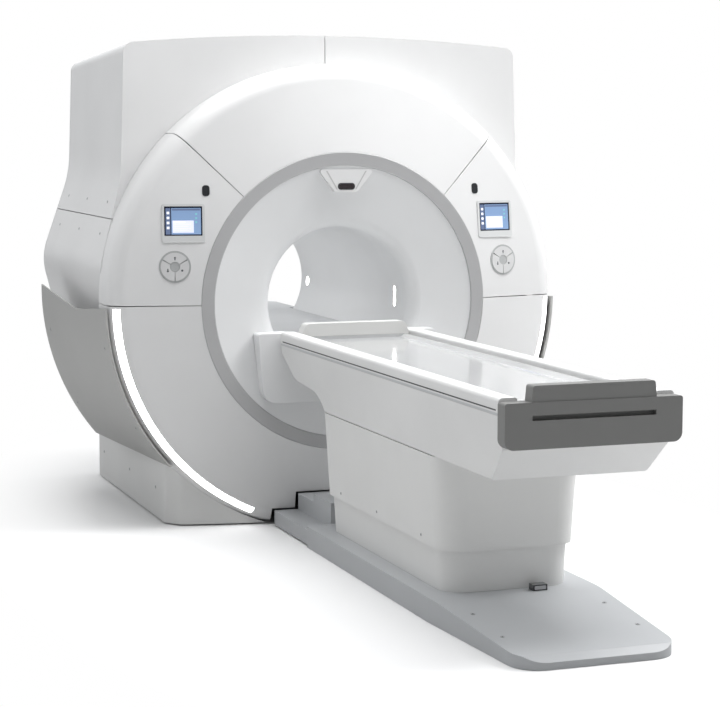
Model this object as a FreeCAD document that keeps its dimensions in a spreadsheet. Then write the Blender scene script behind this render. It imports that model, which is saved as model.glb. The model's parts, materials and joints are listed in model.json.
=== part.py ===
import FreeCAD, Part
import math
import os

import Sketcher

# Whole-body magnetic resonance scanner with its patient table docked.
# X is to the right of someone facing the bore, Y runs along the bore towards the back, Z is up.
# The origin is on the floor, straight under the middle of the magnet.
# The ring plane is the upright plane at the front of the magnet in which the trim ring lies.

SIZES = [
    # the magnet housing as a whole
    ("axis_height", 1063, "bore axis above the floor"),
    ("bore_radius", 350, "inside of the patient bore"),
    ("gantry_depth", 1800, "ring plane to rear cover"),
    ("cover_wall", 8, "thickness of every moulded cover"),
    ("seam", 4, "open shut line between neighbouring covers"),
    ("fit", 0.4, "clearance of a piece in its seat"),
    # the round front
    ("ring_inner", 640, "inner radius of the trim ring"),
    ("ring_outer", 704, "outer radius of the trim ring"),
    ("ring_depth", 24, "depth of the trim ring"),
    ("ring_proud", 3, "how far the trim ring stands in front of the covers"),
    ("ring_edge", 5, "rounding of the edges of the trim ring"),
    ("disc_radius", 1117, "outer radius of the round front"),
    ("disc_depth", 300, "ring plane to the shoulder of the housing"),
    ("face_rise", 92, "how far the face falls back from its middle to its edge"),
    ("rim_round", 97, "rounding of the edge of the face"),
    ("disc_floor_gap", 20, "height at which the round front is cut off flat"),
    ("panel_seam", 0.25, "angle left open between two panels of the front"),
    ("dish_set_back", 4, "outer edge of the dish behind the ring plane"),
    ("flare_rise", 68, "depth of the dish between ring and bore"),
    ("flare_length", 250, "ring plane to the end of the dish inside the bore"),
    ("lip_round", 70, "rounding where the dish turns into the bore"),
    ("flare_wall", 6, "thickness of the dish and of the bore tube"),
    ("rear_round", 60, "rounding of the bore mouth at the back"),
    ("mouth_length", 120, "straight part and rounding of that mouth"),
    ("rear_set_in", 2, "bore mouth in front of the rear cover's face"),
    ("strip_depth", 5, "thickness of the light strips"),
    ("strip_proud", 1, "how far a light strip stands out of the rim"),
    ("strip_place", 40.5, "angle round the rim of the face to the middle of a light strip"),
    ("strip_spread", 11.2, "angle from there to either edge of the strip"),
    ("strip_middle", 123.5, "angle from the top of the face to the middle of a light strip"),
    ("strip_sweep", 65.5, "angle along which a light strip runs"),
    # the tall housing behind it: half widths and heights of its front and rear sections
    ("shoulder_half", 985, "half width at the top front corner"),
    ("shoulder_height", 2272, "height of the top front corner"),
    ("crown_height", 2356, "where the two slopes of the front roof would meet"),
    ("waist_half", 1006, "half width where the side starts to swell"),
    ("waist_height", 1650, "height of that line"),
    ("bulge_half", 1118, "half width at the widest line"),
    ("bulge_height", 1200, "height of the widest line"),
    ("tuck_half", 955, "half width low down behind the wings"),
    ("tuck_height", 560, "height of that line"),
    ("foot_half", 800, "half width where the housing meets the plinth"),
    ("shoulder_round", 50, "rounding of the top corners"),
    ("waist_round", 600, "rounding where the side starts to swell"),
    ("side_round", 300, "rounding of the widest line and of the tuck below it"),
    ("rear_pinch", 57, "how much narrower the upper part is at the back"),
    ("rear_drop", 40, "how much lower the roof is at the back"),
    ("rear_tuck", 12, "how much narrower the lower part is at the back"),
    ("rear_plate", 20, "rear face to the end of the side covers"),
    ("side_seam_height", 1455, "shut line between side cover and upper shroud"),
    ("vent_front", 120, "front edge of the roof vent behind the shoulder"),
    ("vent_length", 640, "length of the roof vent"),
    ("vent_set_in", 80, "outer edge of the roof vent inside the shoulder corner"),
    ("vent_width", 110, "width of the roof vent"),
    ("plinth_height", 300, "top of the plinth"),
    ("plinth_half", 820, "half width of the plinth"),
    ("plinth_set_back", 125, "nose of the plinth behind the ring plane"),
    ("plinth_nose_length", 75, "length over which the nose of the plinth narrows"),
    ("plinth_nose_in", 60, "how much it narrows there, on each side"),
    ("plinth_bow", 900, "rounding of the nose of the plinth"),
    ("plinth_round", 60, "rounding of the corners of the plinth"),
    ("plinth_waist", 20, "where the plinth turns inwards, in front of the shoulder"),
    ("plinth_lift", 6, "gap between plinth skirt and floor"),
    ("frame_set_back", 360, "front edge of the steel floor frame behind the ring plane"),
    ("frame_rear", 60, "rear edge of that frame in front of the rear cover"),
    ("frame_half", 690, "half width of the steel floor frame"),
    ("frame_height", 30, "height of the steel floor frame"),
    # the grey wings
    ("wing_front", 110, "front edge of a wing behind the ring plane"),
    ("wing_length", 1190, "length of a wing"),
    ("wing_radius", 1129, "outer radius of a wing at its front edge"),
    ("wing_spread", 72, "how much larger that radius is at the rear edge"),
    ("wing_middle", 115, "angle from the top to the middle of a wing"),
    ("wing_sweep", 60, "angle over which a wing runs before it is trimmed"),
    ("wing_top", 1052, "height of the top edge at the front"),
    ("wing_dip", 42, "how far that edge dips before it rises"),
    ("wing_dip_place", 540, "where it is lowest, behind the front edge"),
    ("wing_dip_round", 900, "rounding of that dip"),
    ("wing_rise", 34, "how much higher the edge is at the back"),
    ("wing_floor", 302, "height of the lower edge of a wing"),
    ("bracket_inner", 480, "inner end of a wing bracket before it is trimmed"),
    ("bracket_low", 420, "height of the lower wing brackets"),
    ("bracket_high", 820, "height of the upper wing brackets"),
    ("bracket_front", 540, "front pair of brackets behind the front edge of the wing"),
    ("bracket_rear", 220, "rear pair of brackets in front of its rear edge"),
    ("bracket_width", 60, "length of a wing bracket along the bore"),
    ("bracket_height", 40, "height of a wing bracket"),
    # controls on the face
    ("screen_across", 777, "screen centre from the bore axis, sideways"),
    ("screen_up", 389, "screen centre above the bore axis"),
    ("screen_width", 175, "visible width of a screen"),
    ("screen_height", 135, "visible height of a screen"),
    ("screen_sink", 2, "glass of a screen below the face"),
    ("screen_round", 3, "rounding of the corners of a screen"),
    ("bezel_edge", 11, "frame around a screen"),
    ("bezel_ledge", 32, "ledge below a screen"),
    ("bezel_round", 12, "rounding of the corners of that frame"),
    ("bezel_proud", 3, "how far that frame stands out of the face"),
    ("panel_sink", 12, "how deep a control is let into the cover"),
    ("panel_floor", 3, "thickness of the back of a control"),
    ("keypad_across", 820, "keypad centre from the bore axis, sideways"),
    ("keypad_up", 180, "keypad centre above the bore axis"),
    ("keypad_radius", 73, "outer radius of a keypad"),
    ("keypad_proud", 2, "how far a keypad stands out of the face"),
    ("button_inner", 24, "inner radius of the groove for the push buttons"),
    ("button_outer", 65, "outer radius of a push button"),
    ("button_gap", 0.6, "running gap round a push button"),
    ("button_proud", 4, "how far a push button stands out of the face"),
    ("button_sweep", 116, "angle that a push button covers"),
    ("button_travel", 2, "stroke of a push button"),
    ("button_rest", 0.5, "space left below a pressed button"),
    ("sensor_across", 670, "sensor window from the bore axis, sideways"),
    ("sensor_up", 527, "sensor window above the bore axis"),
    ("sensor_width", 34, "width of a sensor window"),
    ("sensor_height", 50, "height of a sensor window"),
    ("sensor_round", 14, "rounding of the corners of a sensor window"),
    # the laser housing in the top of the dish
    ("laser_top_half", 140, "half width of the laser housing at its top"),
    ("laser_bottom_half", 55, "half width at its bottom"),
    ("laser_bottom", 517, "bottom of the laser housing above the bore axis"),
    ("laser_top", 622, "top of the laser housing above the bore axis"),
    ("laser_proud", 10, "how far it stands in front of the ring plane"),
    ("laser_round", 12, "rounding of its corners"),
    ("lens_half", 38, "half width of the laser window"),
    ("lens_low", 14, "lower edge of the laser window above the bottom of its housing"),
    ("lens_height", 24, "height of the laser window"),
    ("lens_depth", 8, "depth of the laser window"),
    # the magnet inside
    ("vessel_radius", 930, "outside of the vacuum vessel"),
    ("vessel_set_back", 340, "front end of the vacuum vessel behind the ring plane"),
    ("vessel_rear", 80, "rear end of the vacuum vessel in front of the rear cover"),
    ("vessel_wall", 12, "wall of the vacuum vessel"),
    ("body_coil_depth", 29, "space between bore tube and gradient coil for the body coil"),
    ("gradient_depth", 70, "thickness of the gradient coil"),
    ("gradient_gap", 15, "space between gradient coil and vacuum vessel"),
    ("gradient_set_in", 40, "ends of the gradient coil inside the ends of the vessel"),
    ("helium_outer_gap", 130, "space between the two vessels on the outside"),
    ("helium_inner_gap", 75, "space between the two vessels on the inside"),
    ("helium_wall", 8, "wall of the helium vessel"),
    ("helium_gap", 70, "space between the ends of the two vessels"),
    ("winding_depth", 126, "thickness of the superconducting windings"),
    ("winding_width", 130, "width of each winding"),
    ("winding_pitch", 235, "distance from winding to winding"),
    ("strap_width", 40, "width of a suspension strap"),
    ("strap_sweep", 3, "angle that a suspension strap covers"),
    ("strap_set_in", 80, "straps inside the ends of the helium vessel"),
    ("wedge_sweep", 12, "angle that a gradient wedge covers"),
    ("wedge_length", 80, "length of a gradient wedge"),
    ("wedge_set_in", 60, "wedges inside the ends of the gradient coil"),
    ("turret_place", 200, "service turret behind the middle of the magnet"),
    ("turret_radius", 85, "radius of the service turret on the vessel"),
    ("turret_height", 2180, "top of the service turret"),
    ("neck_gap", 40, "space between turret and helium neck"),
    ("neck_wall", 3, "wall of the helium neck"),
    ("neck_drop", 60, "top of the helium neck below the top of the turret"),
    ("cold_flange", 18, "thickness of the flange of the cold head"),
    ("cold_radius", 45, "radius of the motor of the cold head"),
    ("cold_height", 70, "height of that motor"),
    ("cold_stem", 240, "length of the stem of the cold head"),
    ("foot_inner", 420, "inner side of a magnet foot from the middle"),
    ("foot_width", 180, "width of a magnet foot"),
    ("foot_length", 200, "length of a magnet foot"),
    ("foot_set_in", 60, "magnet feet inside the ends of the vessel"),
    # the bridge in the bore and the docking fairing
    ("bridge_drop", 180, "running surface for the cradle below the bore axis"),
    ("bridge_margin", 28, "how much wider the bridge is than the cradle, on each side"),
    ("dock_proud", 45, "how far bridge and fairing stand in front of the ring plane"),
    ("dock_half", 445, "half width of the fairing under the bridge"),
    ("dock_lean", 25, "how much narrower the fairing is at its bottom, on each side"),
    ("dock_rise", 43, "top of the fairing above the bridge"),
    ("dock_drop", 463, "bottom of the fairing below the bore axis"),
    ("dock_round", 70, "rounding of the lower corners of the fairing"),
    ("dock_edge", 14, "rounding of its upper corners"),
    ("shelf_length", 450, "length of the shelf behind the magnet"),
    ("shelf_depth", 60, "thickness of that shelf"),
    ("shelf_round", 60, "rounding of its rear corners"),
    ("post_half", 150, "half width of its post"),
    ("post_length", 200, "length of its post along the bore"),
    ("post_set_back", 120, "front of the post behind the rear cover"),
    ("sole_margin", 50, "how much larger the sole of the post is, on every side"),
    ("sole_height", 22, "thickness of the sole of the post"),
    # the patient table
    ("table_gap", 60, "ring plane to the head end of the table"),
    ("table_length", 2500, "length of the table top"),
    ("cradle_clear", 88, "how much narrower the cradle is than the bore, on each side"),
    ("cradle_height", 34, "height of the cradle"),
    ("cradle_dish", 14, "depth of the hollow in the cradle"),
    ("cradle_edge", 8, "rounding of the edges of the cradle"),
    ("cradle_round", 18, "rounding at the bottom of the hollow"),
    ("cradle_rim", 20, "width of the rim round that hollow"),
    ("cradle_slope", 24, "width of the slope into that hollow"),
    ("cradle_head", 10, "cradle behind the head end of the table"),
    ("cradle_foot", 14, "cradle in front of the foot end of the table"),
    ("lip_overhang", 6, "how much wider the head lip is than the cradle, on each side"),
    ("lip_rise", 41, "top of the head lip above the rails"),
    ("lip_length", 70, "length of the head lip"),
    ("lip_set_back", 4, "head lip behind the end of the cradle, and the rounding of its lower edges"),
    ("lip_edge", 26, "rounding and lean of the sides of the head lip"),
    ("rail_clear", 8, "cradle to side rail"),
    ("rail_width", 72, "width of a side rail"),
    ("rail_rise", 53, "top of the side rails above the running surface"),
    ("rail_round", 16, "rounding of the outer edge of a rail"),
    ("rail_edge", 10, "rounding of the inner edge of a rail"),
    ("deck_depth", 311, "top of the rails to the underside of the table top housing"),
    ("deck_taper", 35, "how much the housing narrows to its underside"),
    ("deck_edge", 12, "rounding of the lower edges of the housing"),
    ("pan_thickness", 9, "sheet on which the cradle runs"),
    ("well_margin", 60, "rim left round the opening under the table top"),
    ("nose_height", 96, "height of the upright front of the table top"),
    ("nose_length", 150, "length of the first slope behind it"),
    ("nose_drop", 110, "drop of that slope"),
    ("nose_end", 520, "length of both slopes together"),
    ("nose_foot", 75, "height at which the second slope turns down to the underside"),
    ("nose_foot_length", 40, "length of that last turn"),
    ("nose_round", 120, "rounding between the two slopes"),
    ("nose_end_round", 200, "rounding of the last turn"),
    ("tail_length", 130, "length of the slope at the foot end"),
    ("tail_wall", 20, "thickness of the housing behind that slope"),
    ("nose_wall", 60, "thickness of the housing at the head end"),
    ("bumper_depth", 62, "depth of the bumper at the foot end"),
    ("bumper_height", 164, "height of the bumper"),
    ("bumper_round", 34, "rounding of the lower corners of the bumper"),
    ("bumper_wider", 2, "how much wider the bumper is than the rails, on each side"),
    ("bumper_rise", 46, "top of the raised grip above the rails"),
    ("grip_half", 245, "half width of the raised grip"),
    ("grip_lean", 9, "lean of its ends"),
    ("grip_height", 86, "height of the raised grip"),
    ("slot_half", 240, "half width of the slot in the bumper"),
    ("slot_height", 18, "height of that slot"),
    ("slot_depth", 26, "depth of that slot"),
    ("slot_drop", 58, "top of the slot below the rails"),
    # its lift and its foot
    ("lift_travel", 150, "how far the table top can be lowered"),
    ("apron_bottom", 260, "lower edge of the moving apron"),
    ("apron_half", 284.5, "half width of the apron at its lower edge"),
    ("apron_head", 510, "head side of the apron from the head end of the table"),
    ("apron_length", 1360, "length of the apron at its lower edge"),
    ("apron_taper", 3.5, "lean of the apron walls in degrees"),
    ("apron_foot_round", 95, "rounding of the apron at the foot end"),
    ("apron_head_round", 30, "rounding of the apron at the head end"),
    ("apron_roof", 14, "thickness of the plate on which the table top stands"),
    ("skirt_gap", 3, "running gap between apron and fixed skirt"),
    ("skirt_seat", 20, "how deep the skirt is let into the foot plate"),
    ("skirt_clear", 12, "top of the skirt below the lowered apron's roof line"),
    ("column_pitch", 660, "distance between the two lift columns"),
    ("column_radius", 72, "outside of a lift column"),
    ("column_bore", 54, "inside of a lift column"),
    ("column_height", 300, "height of a lift column"),
    ("column_floor", 15, "thickness of its bottom"),
    ("column_gap", 6, "space round a lift column where it passes the skirt"),
    ("ram_head_radius", 70, "radius of the head of a lift ram"),
    ("ram_length", 300, "length of the thin part of a ram"),
    ("ram_rest", 6, "space left below a lowered ram"),
    ("ram_play", 0.6, "running gap between ram and column"),
    ("plate_half", 350, "half width of the foot plate"),
    ("plate_head", 390, "head end of the foot plate from the head end of the table"),
    ("plate_length", 2255, "length of the foot plate"),
    ("plate_high", 96, "height of the foot plate under the apron"),
    ("plate_low", 46, "height of the foot plate at its tip"),
    ("plate_tip", 110, "rounding of the corners of its tip"),
    ("plate_tip_in", 40, "how much narrower the tip is, on each side"),
    ("plate_margin", 60, "level part of the foot plate beyond the apron"),
    ("plate_edge", 20, "rounding of the head corners of the foot plate and of its low edge"),
    ("plate_side_round", 300, "rounding where its sides start to narrow"),
    ("plate_rise_round", 900, "rounding where its top starts to slope down"),
    ("shoe_half", 342, "half width of the docking shoe"),
    ("shoe_height", 75, "height of the docking shoe"),
    ("shoe_reach", 50, "how far the docking shoe reaches behind the ring plane"),
    ("tongue_half", 230, "half width of the docking tongue"),
    ("tongue_height", 154, "height of the docking tongue"),
    ("tongue_reach", 30, "how far the docking tongue reaches behind the ring plane"),
    ("heel_rise", 36, "height of the heel above the docking tongue"),
    ("heel_gap", 200, "rear of the heel in front of the ring plane"),
    ("dock_lift", 8, "underside of the docking foot above the floor"),
    ("dock_notch", 5, "space round the docking foot where it enters the front cover"),
    ("latch_half", 60, "half width of the latch bar"),
    ("latch_low", 10, "underside of the latch bar"),
    ("latch_high", 28, "top of the latch bar"),
    ("socket_width", 60, "width of the foot socket"),
    ("socket_across", 100, "foot socket from the middle plane"),
    ("socket_length", 40, "length of the foot socket"),
    ("socket_height", 24, "top of the foot socket above the foot plate"),
]

doc = FreeCAD.newDocument("Scanner")
sheet = doc.addObject("Spreadsheet::Sheet", "Sizes")
for row, (alias, value, note) in enumerate(SIZES, start=1):
    sheet.set(f"A{row}", alias)
    sheet.set(f"B{row}", str(value))
    sheet.set(f"C{row}", note)
    sheet.setAlias(f"B{row}", alias)
doc.recompute()


class Size:
    """A length or angle: its value now, and the expression that gives it from the sheet."""

    def __init__(self, value, text):
        self.value = value
        self.text = text

    def __add__(self, other):
        other = as_size(other)
        return Size(self.value + other.value, f"({self.text} + {other.text})")

    def __sub__(self, other):
        other = as_size(other)
        return Size(self.value - other.value, f"({self.text} - {other.text})")

    def __mul__(self, other):
        other = as_size(other)
        return Size(self.value * other.value, f"({self.text} * {other.text})")

    def __truediv__(self, other):
        other = as_size(other)
        return Size(self.value / other.value, f"({self.text} / {other.text})")

    def __radd__(self, other):
        return as_size(other) + self

    def __rsub__(self, other):
        return as_size(other) - self

    def __rmul__(self, other):
        return as_size(other) * self

    def __neg__(self):
        return Size(-self.value, f"(0 - {self.text})")


def as_size(number):
    return number if isinstance(number, Size) else Size(number, repr(number))


def size(alias):
    return Size(float(sheet.get(alias)), f"Sizes.{alias}")


def bind(thing, path, amount):
    """Tie one property to the sheet, or set it when it is a plain number."""
    thing.setExpression(path, as_size(amount).text)


NODES = {}


def node(label, thing):
    """Give a sub-part its name; each named thing becomes one file."""
    thing.Label = label
    NODES[label] = thing
    return thing


# ---------------------------------------------------------------- sketches

def rounded_outline(corners):
    """Line ends and arcs of a closed outline; a third number in a corner rounds it."""
    points = [FreeCAD.Vector(as_size(c[0]).value, as_size(c[1]).value, 0) for c in corners]
    rounds = [as_size(c[2]).value if len(c) > 2 else 0 for c in corners]
    cuts = []
    for i, (point, rounding) in enumerate(zip(points, rounds)):
        to_last = (points[i - 1] - point).normalize()
        to_next = (points[(i + 1) % len(points)] - point).normalize()
        half = to_last.getAngle(to_next) / 2
        reach = rounding / math.tan(half) if rounding else 0
        centre = point + (to_last + to_next).normalize() * (rounding / math.sin(half))
        cuts.append((point + to_last * reach, point + to_next * reach, centre))
    return points, rounds, cuts


def draw_outline(sketch, corners):
    """A closed outline whose every corner and rounding is tied to the sheet."""
    points, rounds, cuts = rounded_outline(corners)
    count = len(points)
    lines = []
    for i in range(count):
        lines.append(sketch.addGeometry(Part.LineSegment(cuts[i][1], cuts[(i + 1) % count][0])))
    for i, corner in enumerate(corners):
        before, after = lines[i - 1], lines[i]
        if rounds[i]:
            start, end, centre = cuts[i]
            turn = (start - centre).cross(end - centre).z
            first, last = (start, end) if turn > 0 else (end, start)
            first_angle = math.atan2(first.y - centre.y, first.x - centre.x)
            last_angle = math.atan2(last.y - centre.y, last.x - centre.x)
            circle = Part.Circle(centre, FreeCAD.Vector(0, 0, 1), rounds[i])
            arc = sketch.addGeometry(Part.ArcOfCircle(circle, first_angle, last_angle))
            start_end, last_end = (1, 2) if turn > 0 else (2, 1)
            sketch.addConstraint(Sketcher.Constraint("Tangent", before, 2, arc, start_end))
            sketch.addConstraint(Sketcher.Constraint("Tangent", arc, last_end, after, 1))
            radius = sketch.addConstraint(Sketcher.Constraint("Radius", arc, rounds[i]))
            bind(sketch, f"Constraints[{radius}]", corner[2])
            mark = sketch.addGeometry(Part.Point(points[i]), True)
            sketch.addConstraint(Sketcher.Constraint("PointOnObject", mark, 1, before))
            sketch.addConstraint(Sketcher.Constraint("PointOnObject", mark, 1, after))
            place_point(sketch, mark, 1, corner)
        else:
            sketch.addConstraint(Sketcher.Constraint("Coincident", before, 2, after, 1))
            place_point(sketch, after, 1, corner)


def place_point(sketch, geometry, end, corner):
    for kind, amount in (("DistanceX", corner[0]), ("DistanceY", corner[1])):
        rule = Sketcher.Constraint(kind, -1, 1, geometry, end, as_size(amount).value)
        bind(sketch, f"Constraints[{sketch.addConstraint(rule)}]", amount)


def sketch_on(body, plane, corners, offset=None):
    """A sketch on one of the body's own origin planes, moved along its normal."""
    sketch = body.newObject("Sketcher::SketchObject", "Outline")
    support = [f for f in body.Origin.OriginFeatures if f.Role == plane][0]
    sketch.AttachmentSupport = [(support, "")]
    sketch.MapMode = "FlatFace"
    if offset is not None:
        bind(sketch, "AttachmentOffset.Base.z", offset)
    draw_outline(sketch, corners)
    return sketch


def new_body(label):
    body = doc.addObject("PartDesign::Body", "Body")
    body.Label = label
    return body


# ------------------------------------------------------------ kinds of solid

def turned(label, corners, middle=0, sweep=360):
    """A solid turned about the bore axis; corners are (along Y, radius), angles from the top."""
    body = new_body(label)
    sketch = sketch_on(body, "YZ_Plane", corners)
    revolution = body.newObject("PartDesign::Revolution", "Turn")
    revolution.Profile = sketch
    revolution.ReferenceAxis = (sketch, ["H_Axis"])
    revolution.Midplane = True
    bind(revolution, "Angle", sweep)
    body.Placement = FreeCAD.Placement(
        FreeCAD.Vector(), FreeCAD.Rotation(FreeCAD.Vector(0, 1, 0), as_size(middle).value))
    bind(body, "Placement.Base.z", size("axis_height"))
    return body


def padded(label, plane, corners, low, high, taper=None):
    """A prism between two positions along the normal of its plane."""
    low, high = as_size(low), as_size(high)
    body = new_body(label)
    start = -high if plane == "XZ_Plane" else low
    sketch = sketch_on(body, plane, corners, start)
    pad = body.newObject("PartDesign::Pad", "Pad")
    pad.Profile = sketch
    bind(pad, "Length", high - low)
    if taper is not None:
        bind(pad, "TaperAngle", taper)
    return body


def lofted(label, front, back, front_y, back_y):
    """A straight skin between two upright sections."""
    body = new_body(label)
    sections = [sketch_on(body, "XZ_Plane", front, -front_y),
                sketch_on(body, "XZ_Plane", back, -back_y)]
    loft = body.newObject("PartDesign::AdditiveLoft", "Loft")
    loft.Profile = sections[0]
    loft.Sections = sections[1:]
    loft.Ruled = True
    return body


def block(label, low, high):
    """A box between two corners."""
    box = doc.addObject("Part::Box", "Box")
    box.Label = label
    for name, first, last in zip(("Length", "Width", "Height"), low, high):
        bind(box, name, as_size(last) - first)
    for name, first in zip("xyz", low):
        bind(box, f"Placement.Base.{name}", first)
    return box


def rod(label, base, radius, length, direction=(0, 0, 1)):
    """A round bar that starts at base and runs along a direction."""
    bar = doc.addObject("Part::Cylinder", "Rod")
    bar.Label = label
    bar.Placement = FreeCAD.Placement(
        FreeCAD.Vector(), FreeCAD.Rotation(FreeCAD.Vector(0, 0, 1), FreeCAD.Vector(*direction)))
    bind(bar, "Radius", radius)
    bind(bar, "Height", length)
    for name, amount in zip("xyz", base):
        bind(bar, f"Placement.Base.{name}", amount)
    return bar


def joined(label, parts):
    fuse = doc.addObject("Part::MultiFuse", "Joined")
    fuse.Label = label
    fuse.Shapes = parts
    return fuse


def grouped(label, parts):
    """Separate solids that go by one name."""
    group = doc.addObject("Part::Compound", "Group")
    group.Label = label
    group.Links = parts
    return group


def cut(label, base, tools):
    result = doc.addObject("Part::Cut", "Cut")
    result.Label = label
    result.Base = base
    result.Tool = tools[0] if len(tools) == 1 else joined(label + "_tools", tools)
    return result


def shared(label, first, second):
    """What two solids have in common."""
    result = doc.addObject("Part::Common", "Common")
    result.Label = label
    result.Base = first
    result.Tool = second
    return result


def mirrored(label, source):
    """The same piece on the other side of the middle plane."""
    mirror = doc.addObject("Part::Mirroring", "Mirror")
    mirror.Label = label
    mirror.Source = source
    mirror.Normal = FreeCAD.Vector(1, 0, 0)
    return mirror


# --------------------------------------------------------- common positions

axis = size("axis_height")
front = -size("gantry_depth") / 2
back = size("gantry_depth") / 2
wall = size("cover_wall")
seam = size("seam")
fit = size("fit")
bore = size("bore_radius")
shoulder_y = front + size("disc_depth")
rear_y = back - size("rear_plate")
mouth_y = back - size("mouth_length")
dish_y = front + size("dish_set_back")
dish_outer = size("ring_inner") - fit
face_slope = size("face_rise") / (size("disc_radius") - size("ring_outer"))
frame_y = front + size("frame_set_back")
running_z = axis - size("bridge_drop")
cradle_half = bore - size("cradle_clear")
bridge_half = cradle_half + size("bridge_margin")
head_y = front - size("table_gap")
foot_y = head_y - size("table_length")
rail_half = cradle_half + size("rail_clear") + size("rail_width")
rail_z = running_z + size("rail_rise")
deck_z = rail_z - size("deck_depth")
apron_head_y = head_y - size("apron_head")
apron_foot_y = apron_head_y - size("apron_length")
plate_head_y = head_y - size("plate_head")
plate_foot_y = plate_head_y - size("plate_length")
FAR = 3000            # well outside the scanner
OVER = 5              # how far a cutting tool reaches past what it cuts
ROOF_REACH = 0.9      # share of the roof slope that its rounding takes up


# ------------------------------------------------------------ the front face

def face_outline(first, last, depth):
    """The moulded face from its inner to its outer edge: a shallow cone with a round rim."""
    outer, rounding = size("disc_radius"), size("rim_round")
    face = front + face_slope * (outer - first)
    return [(front, first), (face, outer, rounding), (last, outer), (last, outer - depth),
            (face + depth, outer - depth, rounding - depth), (front + depth, first)]


def make_front_covers():
    """Four panels side by side: a quarter at the top, an eighth at each side, a half below."""
    outline = face_outline(size("ring_outer") + fit, shoulder_y + wall, wall)
    gap = size("panel_seam")
    half, quarter, eighth = 180, 90, 45
    top = turned("top_panel", outline, 0, quarter - gap)
    left = turned("left_panel", outline, -(quarter + eighth) / 2, eighth - gap)
    right = turned("right_panel", outline, (quarter + eighth) / 2, eighth - gap)
    lower = turned("lower_panel", outline, half, half - gap)
    return top, left, right, lower


def strip_outline(extra):
    """Section of a light strip, laid in the round rim of the face; extra widens it all round."""
    rounding = size("rim_round")
    lean = math.atan(face_slope.value)
    centre_r = size("disc_radius") - rounding
    face_edge = front + face_slope * (size("disc_radius") - size("ring_outer"))
    centre_y = face_edge + rounding * ((1 - math.sin(lean)) / math.cos(lean))
    middle, spread = math.radians(size("strip_place").value), math.radians(size("strip_spread").value)
    spread += as_size(extra).value / rounding.value
    bow = 1 / math.cos(spread / 2)
    proud = rounding + size("strip_proud")
    deep = rounding - size("strip_depth") - extra
    points = []
    for radius, angle in ((proud, -spread), (proud * bow, 0), (proud, spread), (deep, spread), (deep, -spread)):
        turn = middle + angle
        points.append((centre_y - radius * math.cos(turn), centre_r + radius * math.sin(turn)))
    return points


def face_seat(across, up):
    """Position on the face with local Z straight out of it and local Y upwards."""
    x, z = across.value, up.value
    distance = math.hypot(x, z)
    y = front.value + face_slope.value * (distance - size("ring_outer").value)
    lean = math.atan(face_slope.value)
    out = FreeCAD.Vector(math.sin(lean) * x / distance, -math.cos(lean), math.sin(lean) * z / distance)
    side = FreeCAD.Vector(0, 0, 1).cross(out).normalize()
    turn = FreeCAD.Rotation(side, out.cross(side), out, "ZXY")
    return FreeCAD.Placement(FreeCAD.Vector(x, y, z + axis.value), turn)


def seated(thing, place, spin=0):
    """Move a piece that was made about the origin to its seat on the face."""
    thing.Placement = place.multiply(
        FreeCAD.Placement(FreeCAD.Vector(), FreeCAD.Rotation(FreeCAD.Vector(0, 0, 1), spin)))
    return thing


def rounded_slab(label, half_width, low, high, rounding, bottom, top):
    corners = [(-half_width, low, rounding), (half_width, low, rounding),
               (half_width, high, rounding), (-half_width, high, rounding)]
    return padded(label, "XY_Plane", corners, bottom, top)


def round_slab(label, radius, bottom, top):
    return turned_up(label, None, radius, bottom, top)


def turned_up(label, inner, outer, low, high, sweep=360):
    """A disc, a ring or a sector of one, standing on its own local Z axis."""
    body = new_body(label)
    start = 0 if inner is None else inner
    sketch = sketch_on(body, "XZ_Plane", [(start, low), (outer, low), (outer, high), (start, high)])
    revolution = body.newObject("PartDesign::Revolution", "Turn")
    revolution.Profile = sketch
    revolution.ReferenceAxis = (sketch, ["V_Axis"])
    revolution.Midplane = True
    bind(revolution, "Angle", sweep)
    return body


def make_screen(name, side):
    """A screen in its frame, and the pocket that takes the frame."""
    place = face_seat(size("screen_across") * side, size("screen_up"))
    half_w, half_h = size("screen_width") / 2, size("screen_height") / 2
    edge, ledge, sink = size("bezel_edge"), size("bezel_ledge"), size("panel_sink")
    rounding, glass_round = size("bezel_round"), size("screen_round")
    floor_z = size("panel_floor") - sink
    frame = rounded_slab("bezel_frame", half_w + edge, -half_h - ledge, half_h + edge, rounding,
                         -sink, size("bezel_proud"))
    window = rounded_slab("bezel_window", half_w, -half_h, half_h, glass_round, floor_z, sink)
    screen = rounded_slab("screen", half_w - fit, fit - half_h, half_h - fit, glass_round,
                          floor_z, -size("screen_sink"))
    node(f"screen_{name}", seated(screen, place))
    pocket = rounded_slab("bezel_pocket", half_w + edge + fit, -half_h - ledge - fit, half_h + edge + fit,
                          rounding, -sink * OVER, sink * OVER)
    return seated(cut(f"bezel_{name}", frame, [window]), place), seated(pocket, place)


def make_keypad(name, side):
    """A round housing with three push buttons, and the pocket that takes the housing."""
    place = face_seat(size("keypad_across") * side, size("keypad_up"))
    rim, inner, outer = size("keypad_radius"), size("button_inner"), size("button_outer")
    gap, sink = size("button_gap"), size("panel_sink")
    floor_z = size("panel_floor") - sink
    pressed_z = floor_z + size("button_travel") + size("button_rest")
    dish = round_slab("pad_dish", rim, -sink, size("keypad_proud"))
    groove = turned_up("pad_groove", inner - 2 * gap, outer + gap, floor_z, sink)
    for label, middle in (("up", 90), ("down", 210), ("home", 330)):
        button = turned_up(f"button_{label}", inner - gap, outer, pressed_z, size("button_proud"),
                           size("button_sweep"))
        node(f"button_{name}_{label}", seated(button, place, middle))
    pocket = round_slab("pad_pocket", rim + fit, -sink * OVER, sink * OVER)
    return seated(cut(f"pad_{name}", dish, [groove]), place), seated(pocket, place)


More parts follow.
